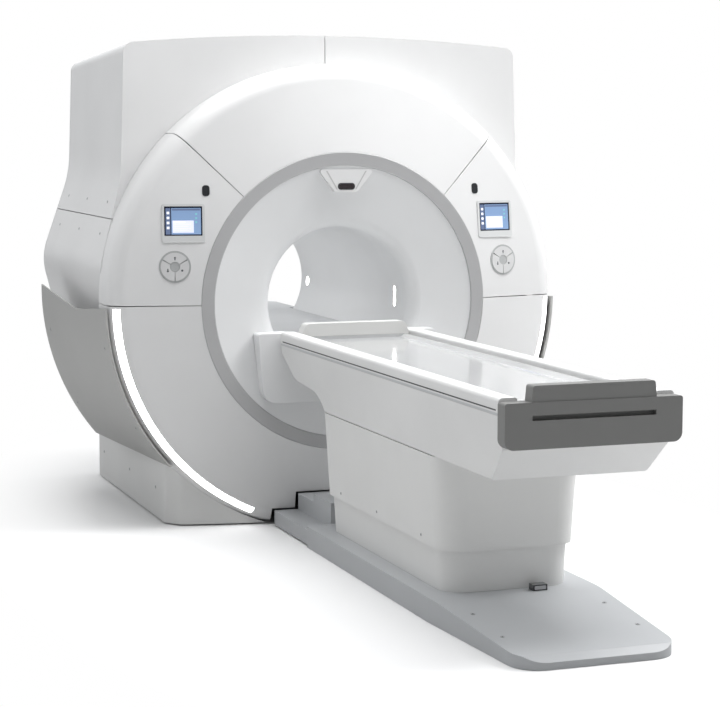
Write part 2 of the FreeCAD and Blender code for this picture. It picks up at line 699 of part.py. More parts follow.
def make_sensor(name, side):
    """A small dark window, and the pocket that takes it."""
    place = face_seat(size("sensor_across") * side, size("sensor_up"))
    half_w, half_h = size("sensor_width") / 2, size("sensor_height") / 2
    rounding, sink = size("sensor_round"), size("panel_sink")
    sensor = rounded_slab(f"sensor_{name}", half_w, -half_h, half_h, rounding, -sink, size("keypad_proud"))
    pocket = rounded_slab("sensor_pocket", half_w + fit, -half_h - fit, half_h + fit, rounding,
                          -sink * OVER, sink * OVER)
    return seated(sensor, place), seated(pocket, place)


def make_face():
    top, left, right, lower = make_front_covers()
    bezels, pads, sensors = [], [], []
    for name, side, panel in (("left", -1, left), ("right", 1, right)):
        bezel, bezel_pocket = make_screen(name, side)
        pad, pad_pocket = make_keypad(name, side)
        sensor, sensor_pocket = make_sensor(name, side)
        bezels.append(bezel)
        pads.append(pad)
        sensors.append(sensor)
        node(f"front_cover_{name}", cut(name, panel, [bezel_pocket, pad_pocket, sensor_pocket]))
    node("front_cover_top", top)
    node("screen_bezels", grouped("bezels", bezels))
    node("keypad_housings", grouped("pads", pads))
    node("sensor_windows", grouped("sensors", sensors))

    middle, sweep = size("strip_middle"), size("strip_sweep")
    end_gap = size("panel_seam") / OVER
    channels = []
    for name, turn in (("left", -middle), ("right", middle)):
        node(f"light_strip_{name}", turned("strip", strip_outline(0), turn, sweep))
        channels.append(turned("strip_channel", strip_outline(fit), turn, sweep + end_gap))
    notch = size("dock_notch")
    tongue, shoe = size("tongue_half") + notch, size("shoe_half") + notch
    tongue_z, shoe_z = size("tongue_height") + notch, size("shoe_height") + notch
    end_y = front + size("flare_length")
    trims = [block("floor_trim", (-FAR, front - OVER, -FAR), (FAR, back, size("disc_floor_gap"))),
             block("tongue_notch", (-tongue, front - OVER, -OVER), (tongue, end_y, tongue_z)),
             block("shoe_notch", (-shoe, front - OVER, -OVER), (shoe, end_y, shoe_z))]
    node("front_cover_lower", cut("lower", lower, channels + trims))

    ring_front = front - size("ring_proud")
    ring_back = ring_front + size("ring_depth")
    inner, outer, edge = size("ring_inner"), size("ring_outer"), size("ring_edge")
    node("trim_ring", turned("ring", [
        (ring_front, inner, edge), (ring_back, inner), (ring_back, outer), (ring_front, outer, edge)]))


def make_bore():
    thick, rounding, rear = size("flare_wall"), size("lip_round"), size("rear_round")
    lip_y = dish_y + size("flare_rise")
    end_y = front + size("flare_length")
    node("bore_flare", turned("flare", [
        (dish_y, dish_outer), (lip_y, bore, rounding), (end_y, bore), (end_y, bore + thick),
        (lip_y + thick, bore + thick, rounding - thick), (dish_y + thick, dish_outer)]))
    node("bore_liner", turned("liner", [
        (end_y + fit, bore), (mouth_y - fit, bore),
        (mouth_y - fit, bore + thick), (end_y + fit, bore + thick)]))
    rear_edge = back - size("rear_set_in")
    node("rear_funnel", turned("funnel", [
        (mouth_y, bore), (rear_edge, bore, rear), (rear_edge, bore + 2 * rear),
        (rear_edge - thick, bore + 2 * rear), (rear_edge - thick, bore + thick, rear - thick),
        (mouth_y, bore + thick)]))


def behind_dish(clearance):
    """All that lies behind the surface of the dish and the bore, with a clearance in front of it."""
    far_out = size("ring_outer")
    start_y = dish_y - clearance
    return turned("behind_dish", [
        (start_y, far_out), (start_y, dish_outer), (start_y + size("flare_rise"), bore, size("lip_round")),
        (back, bore), (back, far_out)])


def make_laser():
    top, bottom = axis + size("laser_top"), axis + size("laser_bottom")
    half_top, half_bottom, rounding = size("laser_top_half"), size("laser_bottom_half"), size("laser_round")
    outline = [(-half_bottom, bottom, rounding), (half_bottom, bottom, rounding),
               (half_top, top, rounding), (-half_top, top, rounding)]
    face = front - size("laser_proud")
    prism = padded("laser_prism", "XZ_Plane", outline, face, front + size("flare_rise"))
    lens_half, lens_low = size("lens_half"), bottom + size("lens_low")
    lens_high, lens_back = lens_low + size("lens_height"), face + size("lens_depth")
    lens_hole = block("lens_hole", (-lens_half - fit, face - OVER, lens_low - fit),
                      (lens_half + fit, lens_back, lens_high + fit))
    node("laser_housing", cut("laser", prism, [behind_dish(0), lens_hole]))
    node("laser_window", block("window", (-lens_half, face - fit, lens_low),
                               (lens_half, lens_back - fit, lens_high)))


# ---------------------------------------------------------- the tall housing

def section(inset, rear):
    """One upright section of the housing at its front or its rear end, moved in by a wall."""
    pinch = size("rear_pinch") if rear else 0
    drop = size("rear_drop") if rear else 0
    tuck_in = size("rear_tuck") if rear else 0
    crown_z = size("crown_height") - drop - inset
    shoulder, shoulder_z = size("shoulder_half") - pinch - inset, size("shoulder_height") - drop - inset
    roof_round = shoulder * shoulder * ROOF_REACH / (crown_z - shoulder_z)
    side = [(shoulder, shoulder_z, size("shoulder_round")),
            (size("waist_half") - pinch - inset, size("waist_height"), size("waist_round")),
            (size("bulge_half") - tuck_in - inset, size("bulge_height"), size("side_round")),
            (size("tuck_half") - tuck_in - inset, size("tuck_height"), size("side_round")),
            (size("foot_half") - tuck_in - inset, size("plinth_height") + seam - 2 * inset)]
    return [(0, crown_z, roof_round)] + side + [(-c[0],) + c[1:] for c in reversed(side)]


def make_housing():
    outer = lofted("housing_outer", section(0, False), section(0, True), shoulder_y, rear_y)
    inner = lofted("housing_inner", section(wall, False), section(wall, True), shoulder_y + wall, rear_y + 1)
    opening = rod("round_opening", (0, front, axis), size("disc_radius") + fit,
                  size("disc_depth") + wall + fit, (0, 1, 0))
    skin = cut("housing_skin", outer, [inner, opening])
    high, low = size("side_seam_height") + seam / 2, size("side_seam_height") - seam / 2
    vent_y, vent_x = shoulder_y + size("vent_front"), size("vent_set_in") - size("shoulder_half")
    vent_end_y, vent_end_x = vent_y + size("vent_length"), vent_x + size("vent_width")
    vent_z = size("waist_height")
    vent_space = block("vent_space", (vent_x, vent_y, vent_z), (vent_end_x, vent_end_y, FAR))
    vent_slab = block("vent_slab", (vent_x + fit, vent_y + fit, vent_z),
                      (vent_end_x - fit, vent_end_y - fit, FAR))
    upper_right = block("upper_right", (seam / 2, front, high), (FAR, FAR, FAR))
    upper_left = block("upper_left", (-FAR, front, high), (-seam / 2, FAR, FAR))
    lower_right = block("lower_right", (seam / 2, front, 0), (FAR, FAR, low))
    lower_left = block("lower_left", (-FAR, front, 0), (-seam / 2, FAR, low))
    node("shroud_right", shared("upper", skin, upper_right))
    node("shroud_left", cut("upper_vented", shared("upper", skin, upper_left), [vent_space]))
    node("side_cover_right", shared("side", skin, lower_right))
    node("side_cover_left", shared("side", skin, lower_left))
    node("top_vent", shared("vent", cut("roof_skin", outer, [inner]), vent_slab))

    plate = padded("rear_plate", "XZ_Plane", section(0, True), rear_y + seam, back)
    hole = rod("rear_hole", (0, rear_y - OVER, axis), bore + 2 * size("rear_round") + fit,
               size("rear_plate") + 2 * OVER, (0, 1, 0))
    node("rear_cover", cut("rear", plate, [hole]))
    return outer


def plinth_outline(inset):
    half, nose_y = size("plinth_half") - inset, front + size("plinth_set_back") + inset
    waist_y, nose_side_y = shoulder_y - size("plinth_waist"), nose_y + size("plinth_nose_length")
    rounding = size("plinth_round")
    right = [(half / 2, nose_y, size("plinth_bow")), (half - size("plinth_nose_in"), nose_side_y, rounding),
             (half, waist_y, rounding), (half, rear_y - inset, rounding)]
    return [(-c[0],) + c[1:] for c in reversed(right)] + right


def make_plinth():
    top = size("plinth_height")
    outer = padded("plinth_outer", "XY_Plane", plinth_outline(0), size("plinth_lift"), top)
    inner = padded("plinth_inner", "XY_Plane", plinth_outline(wall), 0, top + OVER)
    round_space = rod("plinth_round", (0, front, axis), size("disc_radius") + fit,
                      size("disc_depth") + wall + seam, (0, 1, 0))
    node("plinth", cut("skirt", outer, [inner, round_space]))
    frame_half = size("frame_half")
    node("floor_frame", block("frame", (-frame_half, frame_y, 0),
                              (frame_half, back - size("frame_rear"), size("frame_height"))))


def make_wings(housing):
    start = front + size("wing_front")
    end = start + size("wing_length")
    radius, rear_radius = size("wing_radius"), size("wing_radius") + size("wing_spread")
    shell = turned("wing_shell", [(start, radius), (end, rear_radius), (end, rear_radius - wall),
                                  (start, radius - wall)], size("wing_middle"), size("wing_sweep"))
    top, far_top = size("wing_top"), size("side_seam_height")
    above = padded("wing_trim", "YZ_Plane", [
        (start - OVER, top), (start + size("wing_dip_place"), top - size("wing_dip"), size("wing_dip_round")),
        (end + OVER, top + size("wing_rise")), (end + OVER, far_top), (start - OVER, far_top)], 0, FAR)
    below = block("wing_below", (0, front, -FAR), (FAR, FAR, size("wing_floor")))
    wing = node("wing_right", cut("wing", shell, [above, below]))
    node("wing_left", mirrored("wing_mirror", wing))

    inside = turned("wing_inside", [(start, radius - wall - fit), (end, rear_radius - wall - fit),
                                    (end, bore), (start, bore)])
    bars = []
    tall, wide = size("bracket_height"), size("bracket_width")
    for y in (start + size("bracket_front"), end - size("bracket_rear")):
        for z in (size("bracket_low"), size("bracket_high")):
            bars.append(block("bracket_bar", (size("bracket_inner"), y, z), (FAR, y + wide, z + tall)))
    bars = cut("bracket_outer", shared("bracket_inner", joined("bars", bars), inside), [housing])
    node("wing_brackets", grouped("brackets", [bars, mirrored("bars_mirror", bars)]))


# ---------------------------------------------------------------- the magnet

def hollow_ring(label, first, last, inner, outer, thick):
    """A closed tank between two radii, and the room inside its walls."""
    shell = turned(label, [(first, inner), (last, inner), (last, outer), (first, outer)])
    room = turned(label + "_room", [
        (first + thick, inner + thick), (last - thick, inner + thick),
        (last - thick, outer - thick), (first + thick, outer - thick)])
    return shell, room


def make_magnet():
    first, last = front + size("vessel_set_back"), back - size("vessel_rear")
    gradient_in = bore + size("flare_wall") + size("body_coil_depth")
    gradient_out = gradient_in + size("gradient_depth")
    inner, outer, thick = gradient_out + size("gradient_gap"), size("vessel_radius"), size("vessel_wall")
    turret_y, turret_radius, turret_z = size("turret_place"), size("turret_radius"), size("turret_height")
    vessel, cavity = hollow_ring("vessel", first, last, inner, outer, thick)
    turret_low = axis + outer - size("turret_radius") / 2
    turret = rod("turret", (0, turret_y, turret_low), turret_radius, turret_z - turret_low)
    turret_hole = rod("turret_hole", (0, turret_y, turret_low - OVER), turret_radius - thick, FAR)
    node("vacuum_vessel", cut("vessel_shell", joined("vessel_turret", [vessel, turret]), [cavity, turret_hole]))

    thin, gap = size("helium_wall"), size("helium_gap")
    cold_inner, cold_outer = inner + size("helium_inner_gap"), outer - size("helium_outer_gap")
    cold_first, cold_last = first + gap, last - gap
    tank, room = hollow_ring("helium", cold_first, cold_last, cold_inner, cold_outer, thin)
    neck_radius = turret_radius - size("neck_gap")
    neck_low = axis + cold_outer - size("neck_gap") / 2
    neck_top = turret_z - size("neck_drop")
    neck = rod("neck", (0, turret_y, neck_low), neck_radius, neck_top - neck_low)
    neck_hole = rod("neck_hole", (0, turret_y, neck_low - OVER), neck_radius - size("neck_wall"), FAR)
    node("helium_vessel", cut("helium_shell", joined("helium_neck", [tank, neck]), [room, neck_hole]))

    flange, motor = turret_z + fit, turret_z + fit + size("cold_flange") / 2
    node("cold_head", joined("cold", [
        rod("cold_disc", (0, turret_y, flange), turret_radius, size("cold_flange")),
        rod("cold_body", (0, turret_y, motor), size("cold_radius"), size("cold_height")),
        rod("cold_rod", (0, turret_y, motor - size("cold_stem")), neck_radius / 2, size("cold_stem"))]))

    coils = []
    coil_in, middle = cold_inner + thin + fit, (first + last) / 2
    coil_out, half_width = coil_in + size("winding_depth"), size("winding_width") / 2
    for step in range(-2, 3):
        y = middle + size("winding_pitch") * step
        coils.append(turned("winding", [(y - half_width, coil_in), (y + half_width, coil_in),
                                        (y + half_width, coil_out), (y - half_width, coil_out)]))
    node("magnet_windings", grouped("windings", coils))

    straps = []
    strap_low, strap_high, strap_in = cold_outer + fit, outer - thick - fit, size("strap_set_in")
    diagonals = (45, 135, 225, 315)
    for y in (cold_first + strap_in, cold_last - strap_in):
        end_y = y + size("strap_width")
        for turn in diagonals:
            straps.append(turned("strap", [(y, strap_low), (end_y, strap_low), (end_y, strap_high),
                                           (y, strap_high)], turn, size("strap_sweep")))
    node("suspension_straps", grouped("straps", straps))

    feet = []
    foot_low, foot_high = size("frame_height") + fit, size("foot_inner")
    for side_x in (size("foot_inner"), -size("foot_inner") - size("foot_width")):
        for y in (first + size("foot_set_in"), last - size("foot_set_in") - size("foot_length")):
            feet.append(block("foot_block", (side_x, y, foot_low),
                              (side_x + size("foot_width"), y + size("foot_length"), foot_high)))
    round_tool = rod("foot_round", (0, -FAR, axis), outer + fit, 2 * FAR, (0, 1, 0))
    node("magnet_feet", cut("feet", joined("foot_blocks", feet), [round_tool]))

    coil_first, coil_last = first + size("gradient_set_in"), last - size("gradient_set_in")
    node("gradient_coil", turned("gradient", [(coil_first, gradient_in), (coil_last, gradient_in),
                                              (coil_last, gradient_out), (coil_first, gradient_out)]))
    wedges = []
    length, set_in = size("wedge_length"), size("wedge_set_in")
    for y in (coil_first + set_in, coil_last - set_in - length):
        for turn in range(0, 360, 60):
            wedges.append(turned("wedge", [
                (y, gradient_out + fit), (y + length, gradient_out + fit),
                (y + length, inner - fit), (y, inner - fit)], turn, size("wedge_sweep")))
    node("gradient_wedges", grouped("wedges", wedges))
    coil_low, coil_high = bore + size("flare_wall") + fit, gradient_in - fit
    node("body_coil", turned("body_coil_tube", [(coil_first, coil_low), (coil_last, coil_low),
                                                (coil_last, coil_high), (coil_first, coil_high)]))


# ------------------------------------------------------ the bridge and docking

def make_bridge():
    dock_face = front - size("dock_proud")
    bore_floor = axis - bore
    shelf_y = back + size("rear_set_in")
    beam = block("bridge_beam", (-bridge_half, dock_face, bore_floor), (bridge_half, shelf_y - fit, running_z))
    tube = rod("bridge_tube", (0, dock_face - OVER, axis), bore - fit, shelf_y - dock_face + OVER, (0, 1, 0))
    node("bore_bridge", shared("bridge_in_bore", beam, tube))

    dock_half, low_half = size("dock_half"), size("dock_half") - size("dock_lean")
    dock_low, dock_high = axis - size("dock_drop"), running_z + size("dock_rise")
    fairing = padded("fairing", "XZ_Plane", [
        (-low_half, dock_low, size("dock_round")), (low_half, dock_low, size("dock_round")),
        (dock_half, dock_high, size("dock_edge")), (-dock_half, dock_high, size("dock_edge"))],
        dock_face, front + size("flare_rise"))
    seat_half, seat_y, seat_end = bridge_half + fit, dock_face - OVER, front + size("flare_length")
    seat = shared("bridge_seat",
                  block("seat_sides", (-seat_half, seat_y, bore_floor), (seat_half, seat_end, axis)),
                  rod("seat_round", (0, seat_y, axis), bore, FAR, (0, 1, 0)))
    above = block("over_bridge", (-seat_half, seat_y, running_z), (seat_half, seat_end, FAR))
    node("dock_fairing", cut("dock", fairing, [behind_dish(fit), seat, above]))

    end_y, shelf_z = shelf_y + size("shelf_length"), running_z - size("shelf_depth")
    corner = size("shelf_round")
    shelf = padded("shelf", "XY_Plane", [
        (-rail_half, shelf_y, OVER), (rail_half, shelf_y, OVER), (rail_half, end_y, corner),
        (-rail_half, end_y, corner)], shelf_z, running_z)
    half, post_y, margin = size("post_half"), back + size("post_set_back"), size("sole_margin")
    post_end, sole_top = post_y + size("post_length"), size("sole_height")
    post = padded("post", "XY_Plane", [
        (-half, post_y, margin), (half, post_y, margin), (half, post_end, margin), (-half, post_end, margin)],
        sole_top / 2, shelf_z + OVER)
    sole_half = half + margin
    sole = padded("sole", "XY_Plane", [
        (-sole_half, post_y - margin, margin), (sole_half, post_y - margin, margin),
        (sole_half, post_end + margin, margin), (-sole_half, post_end + margin, margin)], 0, sole_top)
    node("rear_shelf", joined("rear_support", [shelf, post, sole]))


# ------------------------------------------------------------ the table top

def nose_profile(inset=as_size(0)):
    """What is cut away under the head end of the table top; inset keeps a wall behind it."""
    upright_z = rail_z - size("nose_height")
    slope_y, slope_z = head_y - size("nose_length") + inset / 2, upright_z - size("nose_drop") + inset
    end_y, end_z = head_y - size("nose_end") + inset / 2, deck_z + size("nose_foot") + inset
    below = deck_z - size("nose_foot_length")
    return [(head_y + OVER, below), (head_y + OVER, upright_z + inset), (slope_y, slope_z, size("nose_round")),
            (end_y, end_z, size("nose_end_round")), (end_y - size("nose_foot_length"), below)]


def make_table_top():
    pan_low, rail_low = running_z - size("pan_thickness"), running_z + fit
    low_half = rail_half - size("deck_taper")
    edge, roof = size("deck_edge"), running_z
    outer = padded("deck_outer", "XZ_Plane", [
        (-low_half, deck_z, edge), (low_half, deck_z, edge), (rail_half, pan_low - fit),
        (-rail_half, pan_low - fit)], foot_y, head_y)
    inner = padded("deck_inner", "XZ_Plane", [
        (-low_half + wall, deck_z + wall, edge - OVER), (low_half - wall, deck_z + wall, edge - OVER),
        (rail_half - wall, roof), (-rail_half + wall, roof)],
        foot_y + size("tail_length") + size("tail_wall"), head_y - size("nose_wall"))
    nose_cut = padded("nose_cut", "YZ_Plane", nose_profile(), -FAR / 2, FAR / 2)
    nose_keep = padded("nose_keep", "YZ_Plane", nose_profile(wall), -FAR / 2, FAR / 2)
    tail_y, tail_z = foot_y + size("tail_length"), rail_low - size("tail_length")
    tail_cut = padded("tail_cut", "YZ_Plane", [
        (foot_y - OVER, tail_z), (foot_y, tail_z), (tail_y, deck_z - fit), (tail_y, deck_z - 2 * OVER),
        (foot_y - OVER, deck_z - 2 * OVER)], -FAR / 2, FAR / 2)
    margin = size("well_margin")
    well = block("well", (margin - low_half, apron_foot_y + margin, deck_z - OVER),
                 (low_half - margin, apron_head_y - margin, deck_z + wall + OVER))
    hollow = cut("deck_hollow", inner, [nose_keep])
    node("deck_housing", cut("deck", outer, [hollow, nose_cut, tail_cut, well]))

    rails = []
    rail_in = rail_half - size("rail_width")
    for side in (-1, 1):
        rails.append(padded("rail", "XZ_Plane", [
            (rail_in * side, rail_low, fit), (rail_half * side, rail_low, fit),
            (rail_half * side, rail_z, size("rail_round")), (rail_in * side, rail_z, size("rail_edge"))],
            foot_y, head_y))
    node("deck_rails", grouped("rails", rails))
    pan_half = rail_half - size("bumper_wider")
    node("deck_pan", block("pan", (-pan_half, foot_y, pan_low), (pan_half, head_y, running_z)))


def make_cradle():
    low = running_z + fit
    top = low + size("cradle_height")
    edge, rim = size("cradle_edge"), size("cradle_rim")
    start_y, end_y = foot_y + size("cradle_foot"), head_y - size("cradle_head")
    slab = padded("cradle_slab", "XZ_Plane", [
        (-cradle_half, low, edge), (cradle_half, low, edge),
        (cradle_half, top, edge), (-cradle_half, top, edge)], start_y, end_y)
    high_half, dish_z = cradle_half - rim, top - size("cradle_dish")
    low_half, rounding = high_half - size("cradle_slope"), size("cradle_round")
    lip_back = end_y - size("lip_set_back")
    lip_front = lip_back - size("lip_length")
    dish = padded("cradle_hollow", "XZ_Plane", [
        (-high_half, top + 1), (-low_half, dish_z, rounding),
        (low_half, dish_z, rounding), (high_half, top + 1)],
        start_y + rim, lip_front - size("lip_set_back"))
    node("cradle", cut("cradle_body", slab, [dish]))

    lip_half, lean = cradle_half + size("lip_overhang"), size("lip_edge")
    node("head_lip", padded("lip", "XZ_Plane", [
        (-lip_half, top + fit, size("lip_set_back")), (lip_half, top + fit, size("lip_set_back")),
        (lip_half - lean, rail_z + size("lip_rise"), lean), (lean - lip_half, rail_z + size("lip_rise"), lean)],
        lip_front, lip_back))


def make_bumper():
    half, face_y = rail_half + size("bumper_wider"), foot_y - size("bumper_depth")
    high, edge, rounding = rail_z - size("deck_edge"), size("rail_edge"), size("bumper_round")
    low = high - size("bumper_height")
    bar = padded("bumper_bar", "XZ_Plane", [
        (-half, high, edge), (-half, low, rounding), (half, low, rounding), (half, high, edge)],
        face_y, foot_y - fit)
    grip_half, grip_z = size("grip_half"), rail_z + size("bumper_rise")
    top_half, grip_low = grip_half - size("grip_lean"), grip_z - size("grip_height")
    grip = padded("bumper_grip", "XZ_Plane", [
        (-grip_half, grip_low), (grip_half, grip_low), (top_half, grip_z, edge), (-top_half, grip_z, edge)],
        face_y + seam, foot_y - fit)
    slot_half, slot_z = size("slot_half"), rail_z - size("slot_drop")
    slot = block("grip_slot", (-slot_half, face_y - OVER, slot_z - size("slot_height")),
                 (slot_half, face_y + size("slot_depth"), slot_z))
    node("end_bumper", cut("bumper", joined("bumper_both", [bar, grip]), [slot]))


# ------------------------------------------------------- the lift and its foot

def foot_print(inset):
    """Plan of the apron at its lower edge, moved in."""
    half = size("apron_half") - inset
    foot_round, head_round = size("apron_foot_round"), size("apron_head_round")
    return [(-half, apron_foot_y + inset, foot_round), (half, apron_foot_y + inset, foot_round),
            (half, apron_head_y - inset, head_round), (-half, apron_head_y - inset, head_round)]


def make_lift():
    low, top, lean = size("apron_bottom"), deck_z - fit, size("apron_taper")
    roof = top - size("apron_roof")
    outer = padded("apron_outer", "XY_Plane", foot_print(0), low, top, lean)
    inner = padded("apron_inner", "XY_Plane", foot_print(wall), low, roof, lean)
    node("apron", cut("apron_skin", outer, [inner]))

    skirt_low = size("plate_high") - size("skirt_seat")
    skirt_top = low + size("lift_travel") - size("skirt_clear")
    inset = wall + size("skirt_gap") + (low - skirt_low) * math.tan(math.radians(lean.value))
    skirt = padded("skirt_outer", "XY_Plane", foot_print(inset), skirt_low, skirt_top, lean)
    skirt_in = padded("skirt_inner", "XY_Plane", foot_print(inset + wall), skirt_low, skirt_top - wall, lean)
    middle, pitch = (apron_head_y + apron_foot_y) / 2, size("column_pitch")
    places = (middle - pitch / 2, middle + pitch / 2)
    radius, tube_bore = size("column_radius"), size("column_bore")
    access = [rod("skirt_hole", (0, y, 0), radius + size("column_gap"), FAR) for y in places]
    node("base_skirt", cut("skirt_skin", skirt, [skirt_in] + access))

    floor_z = skirt_low + size("column_floor")
    ram_low = floor_z + size("lift_travel") + size("ram_rest")
    head_low = ram_low + size("ram_length") - size("ram_rest")
    columns, rams = [], []
    for y in places:
        tube = rod("column_tube", (0, y, skirt_low), radius, size("column_height"))
        columns.append(cut("column", tube, [rod("column_hole", (0, y, floor_z), tube_bore, FAR)]))
        rams.append(joined("ram", [
            rod("ram_bar", (0, y, ram_low), tube_bore - size("ram_play"), size("ram_length")),
            rod("ram_head", (0, y, head_low), size("ram_head_radius"), roof - fit - head_low)]))
    node("lift_columns", grouped("columns", columns))
    node("lift_rams", grouped("ram_pair", rams))
    return inset, skirt_low


def make_foot_plate(skirt_inset, skirt_low):
    half, high, tip_z = size("plate_half"), size("plate_high"), size("plate_low")
    tip_half, tip_round, head_round = half - size("plate_tip_in"), size("plate_tip"), size("plate_edge")
    side_round, rise_round = size("plate_side_round"), size("plate_rise_round")
    plan = padded("plate_plan", "XY_Plane", [
        (-tip_half, plate_foot_y, tip_round), (tip_half, plate_foot_y, tip_round),
        (half, apron_foot_y, side_round), (half, plate_head_y, head_round),
        (-half, plate_head_y, head_round), (-half, apron_foot_y, side_round)], 0, high + OVER)
    profile = padded("plate_side", "YZ_Plane", [
        (plate_foot_y - 1, -1), (plate_head_y + 1, -1), (plate_head_y + 1, high),
        (apron_foot_y - size("plate_margin"), high, rise_round),
        (plate_foot_y + size("plate_tip_in"), tip_z, head_round),
        (plate_foot_y - 1, tip_z - head_round)], -FAR / 2, FAR / 2)
    seat = padded("plate_seat", "XY_Plane", foot_print(skirt_inset - fit), skirt_low - fit,
                  high + 2 * OVER, size("apron_taper"))
    node("foot_plate", cut("plate_body", shared("plate_shape", plan, profile), [seat]))
    across, half_width, length = size("socket_across"), size("socket_width") / 2, size("socket_length")
    socket_y = apron_foot_y - seam
    node("foot_socket", block("socket", (across - half_width, socket_y - length, high + fit),
                              (across + half_width, socket_y, high + size("socket_height"))))


def make_docking_foot():
    start_y, low = plate_head_y + fit, size("dock_lift")
    shoe, tongue, heel_z = size("shoe_half"), size("tongue_half"), size("tongue_height") + size("heel_rise")
    node("docking_foot", joined("dock_foot", [
        block("shoe", (-shoe, start_y, low), (shoe, front + size("shoe_reach"), size("shoe_height"))),
        block("tongue", (-tongue, start_y, low), (tongue, front + size("tongue_reach"), size("tongue_height"))),
        block("heel", (-tongue, start_y, low), (tongue, front - size("heel_gap"), heel_z)),
        block("latch", (-size("latch_half"), front + size("tongue_reach"), size("latch_low")),
              (size("latch_half"), frame_y - fit, size("latch_high")))]))


def check_everything():
    """No failed object and no empty or invalid shape may reach a file."""
    for thing in doc.Objects:
        if "Invalid" in thing.State or "Error" in thing.State:
            raise RuntimeError(f"{thing.Label} ({thing.Name}) failed: {thing.State}")
    for label, thing in NODES.items():
        shape = thing.Shape
        if shape.isNull() or not shape.isValid() or not shape.Solids:
            raise RuntimeError(f"{label} has no valid solid")


make_plinth()
make_magnet()
make_bore()
make_face()
make_laser()
make_wings(make_housing())
make_bridge()
make_table_top()
make_cradle()
make_bumper()
make_foot_plate(*make_lift())
make_docking_foot()
doc.recompute()
check_everything()

os.makedirs("parts", exist_ok=True)
for label, thing in NODES.items():
    thing.Shape.exportStep(f"parts/{label}.step")
    print(label, len(thing.Shape.Solids), round(thing.Shape.Volume / 1e6, 3))
print(len(NODES), "nodes")
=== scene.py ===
import json
import math

import bmesh
import bpy
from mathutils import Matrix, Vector
from mathutils.bvhtree import BVHTree


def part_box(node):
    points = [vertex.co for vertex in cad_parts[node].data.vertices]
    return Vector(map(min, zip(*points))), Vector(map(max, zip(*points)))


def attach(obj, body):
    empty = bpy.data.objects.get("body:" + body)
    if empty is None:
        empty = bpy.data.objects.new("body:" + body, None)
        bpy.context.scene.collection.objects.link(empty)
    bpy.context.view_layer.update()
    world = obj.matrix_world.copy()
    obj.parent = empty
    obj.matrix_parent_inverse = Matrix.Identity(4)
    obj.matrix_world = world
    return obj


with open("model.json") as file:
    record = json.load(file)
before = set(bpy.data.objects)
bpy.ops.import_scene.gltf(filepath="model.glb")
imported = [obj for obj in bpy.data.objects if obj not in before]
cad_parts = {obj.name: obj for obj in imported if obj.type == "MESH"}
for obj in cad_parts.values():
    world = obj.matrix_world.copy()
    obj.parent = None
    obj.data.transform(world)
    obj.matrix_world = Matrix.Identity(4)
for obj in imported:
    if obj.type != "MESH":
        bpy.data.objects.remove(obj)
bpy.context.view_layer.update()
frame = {"nodes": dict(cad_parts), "record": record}

# ---------------------------------------------------------------- measures taken from the frame

MM = 0.001
NODES = frame["nodes"]
RING_LOW, RING_HIGH = (Vector(c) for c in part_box("trim_ring"))
AXIS_Z = (RING_LOW.z + RING_HIGH.z) / 2            # height of the bore axis
LINER_LOW, LINER_HIGH = (Vector(c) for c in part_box("bore_liner"))
LINER_WALL = 6 * MM
BORE_R = (LINER_HIGH.x - LINER_LOW.x) / 2 - LINER_WALL


# ---------------------------------------------------------------- shader building

class Nodes:
    """A small helper that adds shader nodes and links them by socket name."""

    def __init__(self, name):
        self.material = bpy.data.materials.new(name)
        self.material.use_nodes = True
        self.tree = self.material.node_tree
        self.shader = self.tree.nodes["Principled BSDF"]
        self.place = self.add("ShaderNodeTexCoord").outputs["Object"]

    def add(self, kind, links=(), **settings):
        node = self.tree.nodes.new(kind)
        for name, value in settings.items():
            setattr(node, name, value)
        for socket, value in dict(links).items():
            self.feed(node.inputs[socket], value)
        return node

    def feed(self, socket, value):
        if isinstance(value, bpy.types.NodeSocket):
            self.tree.links.new(value, socket)
        else:
            socket.default_value = value

    def noise(self, scale, detail=3.0, place=None):
        return self.add("ShaderNodeTexNoise", {
            "Vector": place or self.place, "Scale": scale, "Detail": detail}).outputs["Fac"]

    def stretched(self, factors):
        return self.add("ShaderNodeMapping", {"Vector": self.place, "Scale": factors}).outputs["Vector"]

    def math(self, operation, first, second=0.0):
        return self.add("ShaderNodeMath", {0: first, 1: second}, operation=operation).outputs[0]

    def span(self, value, low, high, out_low=0.0, out_high=1.0):
        return self.add("ShaderNodeMapRange", {
            "Value": value, "From Min": low, "From Max": high,
            "To Min": out_low, "To Max": out_high}).outputs["Result"]

    def blend(self, factor, first, second):
        node = self.add("ShaderNodeMix", data_type="RGBA")
        self.feed(node.inputs[0], factor)
        self.feed(node.inputs[6], first)
        self.feed(node.inputs[7], second)
        return node.outputs[2]

    def bump(self, height, strength, distance=MM):
        return self.add("ShaderNodeBump", {
            "Height": height, "Strength": strength, "Distance": distance}).outputs["Normal"]

    def axes(self):
        return self.add("ShaderNodeSeparateXYZ", {"Vector": self.place}).outputs

    def length(self, first, second):
        """The long side of a right-angled triangle with these two short sides."""
        squares = self.math("ADD", self.math("POWER", first, 2.0), self.math("POWER", second, 2.0))
        return self.math("SQRT", squares)

    def set(self, **values):
        for name, value in values.items():
            self.feed(self.shader.inputs[name.replace("_", " ")], value)


COAT_ROUGH = 0.12
PLASTIC_IOR = 1.48


def tone(colour, factor):
    return tuple(min(1.0, c * factor) for c in colour[:3]) + (1.0,)


